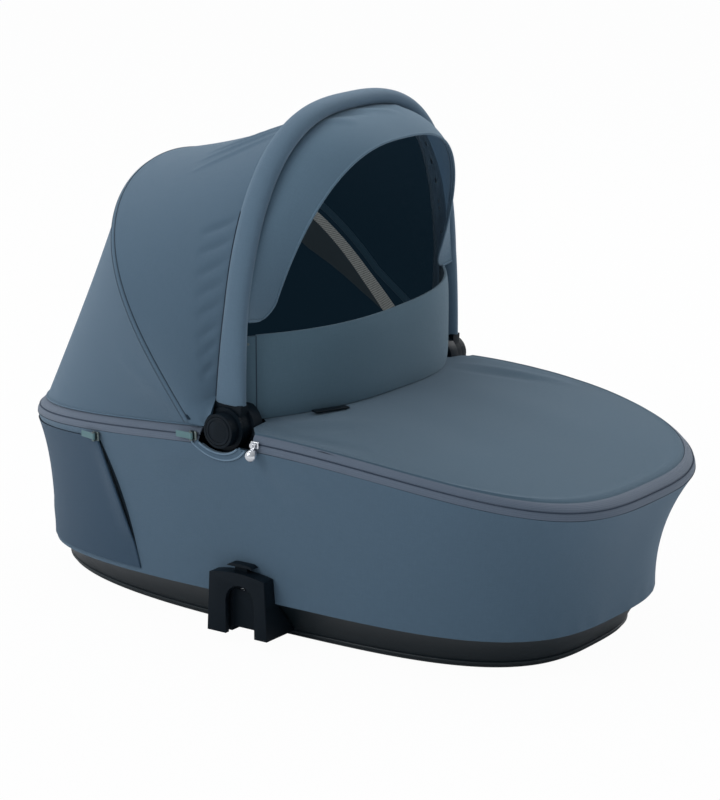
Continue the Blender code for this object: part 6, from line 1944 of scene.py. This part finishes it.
def make_tray():
    tray = sheet_mesh("tray_shell", tray_rings(), TRAY_WALL, wrap=True)
    shape = bmesh.new()
    shape.from_mesh(tray.data)
    bmesh.ops.holes_fill(shape, edges=[e for e in shape.edges if e.is_boundary], sides=0)
    shape.to_mesh(tray.data)
    shape.free()
    count, pitch, wide, length, depth = GROOVES
    cutters = [box_cutter((middle - wide / 2, -length / 2, 0.0),
                          (middle + wide / 2, length / 2, TRAY_FLOOR + depth))
               for middle in (np.arange(count) - (count - 1) / 2) * pitch]
    x, y, radius = PAD_PLACES
    cutters += [round_cutter((sx * x, sy * y, TRAY_FLOOR), radius, (0, 0, 1), PAD_HOLE_DEPTH,
                             PAD_HOLE_SIDES) for sx in (-1, 1) for sy in (-1, 1)]
    cut_away(tray, cutters)
    dress(tray, TRAY_NYLON, "root", ["base_tray"])


make_tray()
print("tray")

# %% [markdown]
# The moulded and metal parts already have their true shapes in the frame. Real mouldings have no
# sharp edges, though, and an edge that is slightly round catches a line of light. So each is copied
# from its node, its flat faces are put back together, and every sharp edge gets a small bevel.

# %% Rounded edges for the hard parts
JOINED_WITHIN = 1e-6
FLAT_ANGLE = math.radians(1.0)
BEVEL_ANGLE = math.radians(28)
SIDE_PARTS = (
    ("adapter", BLACK_NYLON, "root", "black_plastic", 0.0012, 4),
    ("latch", BLACK_NYLON, None, "black_plastic", 0.0012, 4),
    ("handle_leg", BLACK_NYLON, "handle", "black_plastic", 0.0007, 3),
    ("hub_button", BLACK_NYLON, None, "black_plastic", 0.0003, 3),
    ("hub_base", BLACK_NYLON, "root", "black_plastic", 0.0006, 3),
    ("apron_slider", BRIGHT_METAL, "root", "silver", 0.0004, 3),
    ("apron_pull", BRIGHT_METAL, None, "silver", 0.0002, 2),
    ("hood_slider", DARK_METAL, "root", "silver", 0.0003, 3),
    ("hood_tab", PULL_TAPE, None, "pull_tape", 0.0003, 3),
)
SINGLE_PARTS = (
    ("pocket_slider", DARK_METAL, "root", "silver", 0.0003),
    ("pocket_tab", PULL_TAPE, "pocket_tab", "pull_tape", 0.0003),
    ("flap_tab", BLACK_NYLON, "root", "black_plastic", 0.0005),
    *((f"pad_{end}_{side}", PAD_RUBBER, "root", "rubber", 0.0005)
      for end in ("head", "foot") for side in SIDES),
)


def eased(node, finish, body, slot, width, segments=3):
    """A copy of a node whose sharp edges are rounded."""
    shape = bmesh.new()
    shape.from_mesh(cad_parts[node].data)
    bmesh.ops.remove_doubles(shape, verts=shape.verts, dist=JOINED_WITHIN)
    bmesh.ops.dissolve_limit(shape, angle_limit=FLAT_ANGLE, verts=shape.verts, edges=shape.edges)
    mesh = bpy.data.meshes.new(node + "_eased")
    shape.to_mesh(mesh)
    shape.free()
    item = bpy.data.objects.new(node + "_eased", mesh)
    bpy.context.scene.collection.objects.link(item)
    bevel = item.modifiers.new("ease", "BEVEL")
    bevel.width = width
    bevel.segments = segments
    bevel.limit_method = "ANGLE"
    bevel.angle_limit = BEVEL_ANGLE
    bevel.use_clamp_overlap = True
    bake(item, EASED_ANGLE)
    dress(item, finish, body, [node])


for side in SIDES:
    for part, finish, body, slot, width, segments in SIDE_PARTS:
        node = f"{part}_{side}"
        eased(node, finish, body or node, slot, width, segments)
for part in SINGLE_PARTS:
    eased(*part)

# %% [markdown]
# The pieces that stay as they are in the frame are tubes, pins, posts and springs. They only need
# their finish, which is put in the material slots of the node's own object.

# %% Finishes for the frame's own pieces
OWN_PIECES = ("rim_tube_foot", "rim_tube_head", "handle_tube", "side_post_near", "side_post_far",
              "hub_pin_near", "hub_pin_far", "button_spring_near", "button_spring_far",
              "latch_spring_near", "latch_spring_far", "rear_bow")

for node in OWN_PIECES:
    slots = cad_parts[node].data.materials
    slots.clear()
    slots.append(BLACK_NYLON if node == "rear_bow" else BARE_METAL)
print("tubes, pins, posts, springs and the rear bow dressed:", len(OWN_PIECES))

# %% [markdown]
# Last come the small things that hold cloth to cloth: the press stud on the flap's near strip and
# its fellow on the far one. Each is a low turned button, made of rings.

# %% Press studs
STUD_RADIUS = 0.0013
STUD_HEIGHT = 0.0008
STUD_SHARE = 0.91
STUD_REACH = 0.72
STUD_SIDES = 24
STUD_RINGS = ((1.0, 0.0), (1.0, 0.5), (0.9, 0.85), (0.6, 1.0), (0.5, 0.8), (0.1, 0.75))


def make_stud(name, place, out, body):
    turns = np.linspace(0, math.tau, STUD_SIDES, endpoint=False)[:, None]
    side = unit(np.cross(out, (0, 0, 1)))
    up = np.cross(side, out)
    rings = [place + (np.cos(turns) * side + np.sin(turns) * up) * STUD_RADIUS * radius
             + out * STUD_HEIGHT * height for radius, height in STUD_RINGS]
    dress(ring_mesh(name, np.stack(rings)), DARK_METAL, body)


for name, side in SIDES.items():
    y = np.array([side * (FLAP_END_Y + FLAP_STRIP * STUD_REACH)])
    place = flap_face(y, np.array([STUD_SHARE]), np.ones(1))[0]
    make_stud(f"flap_stud_{name}", place, flap_frame(y)[1][0], "wind_flap")
print("press studs")
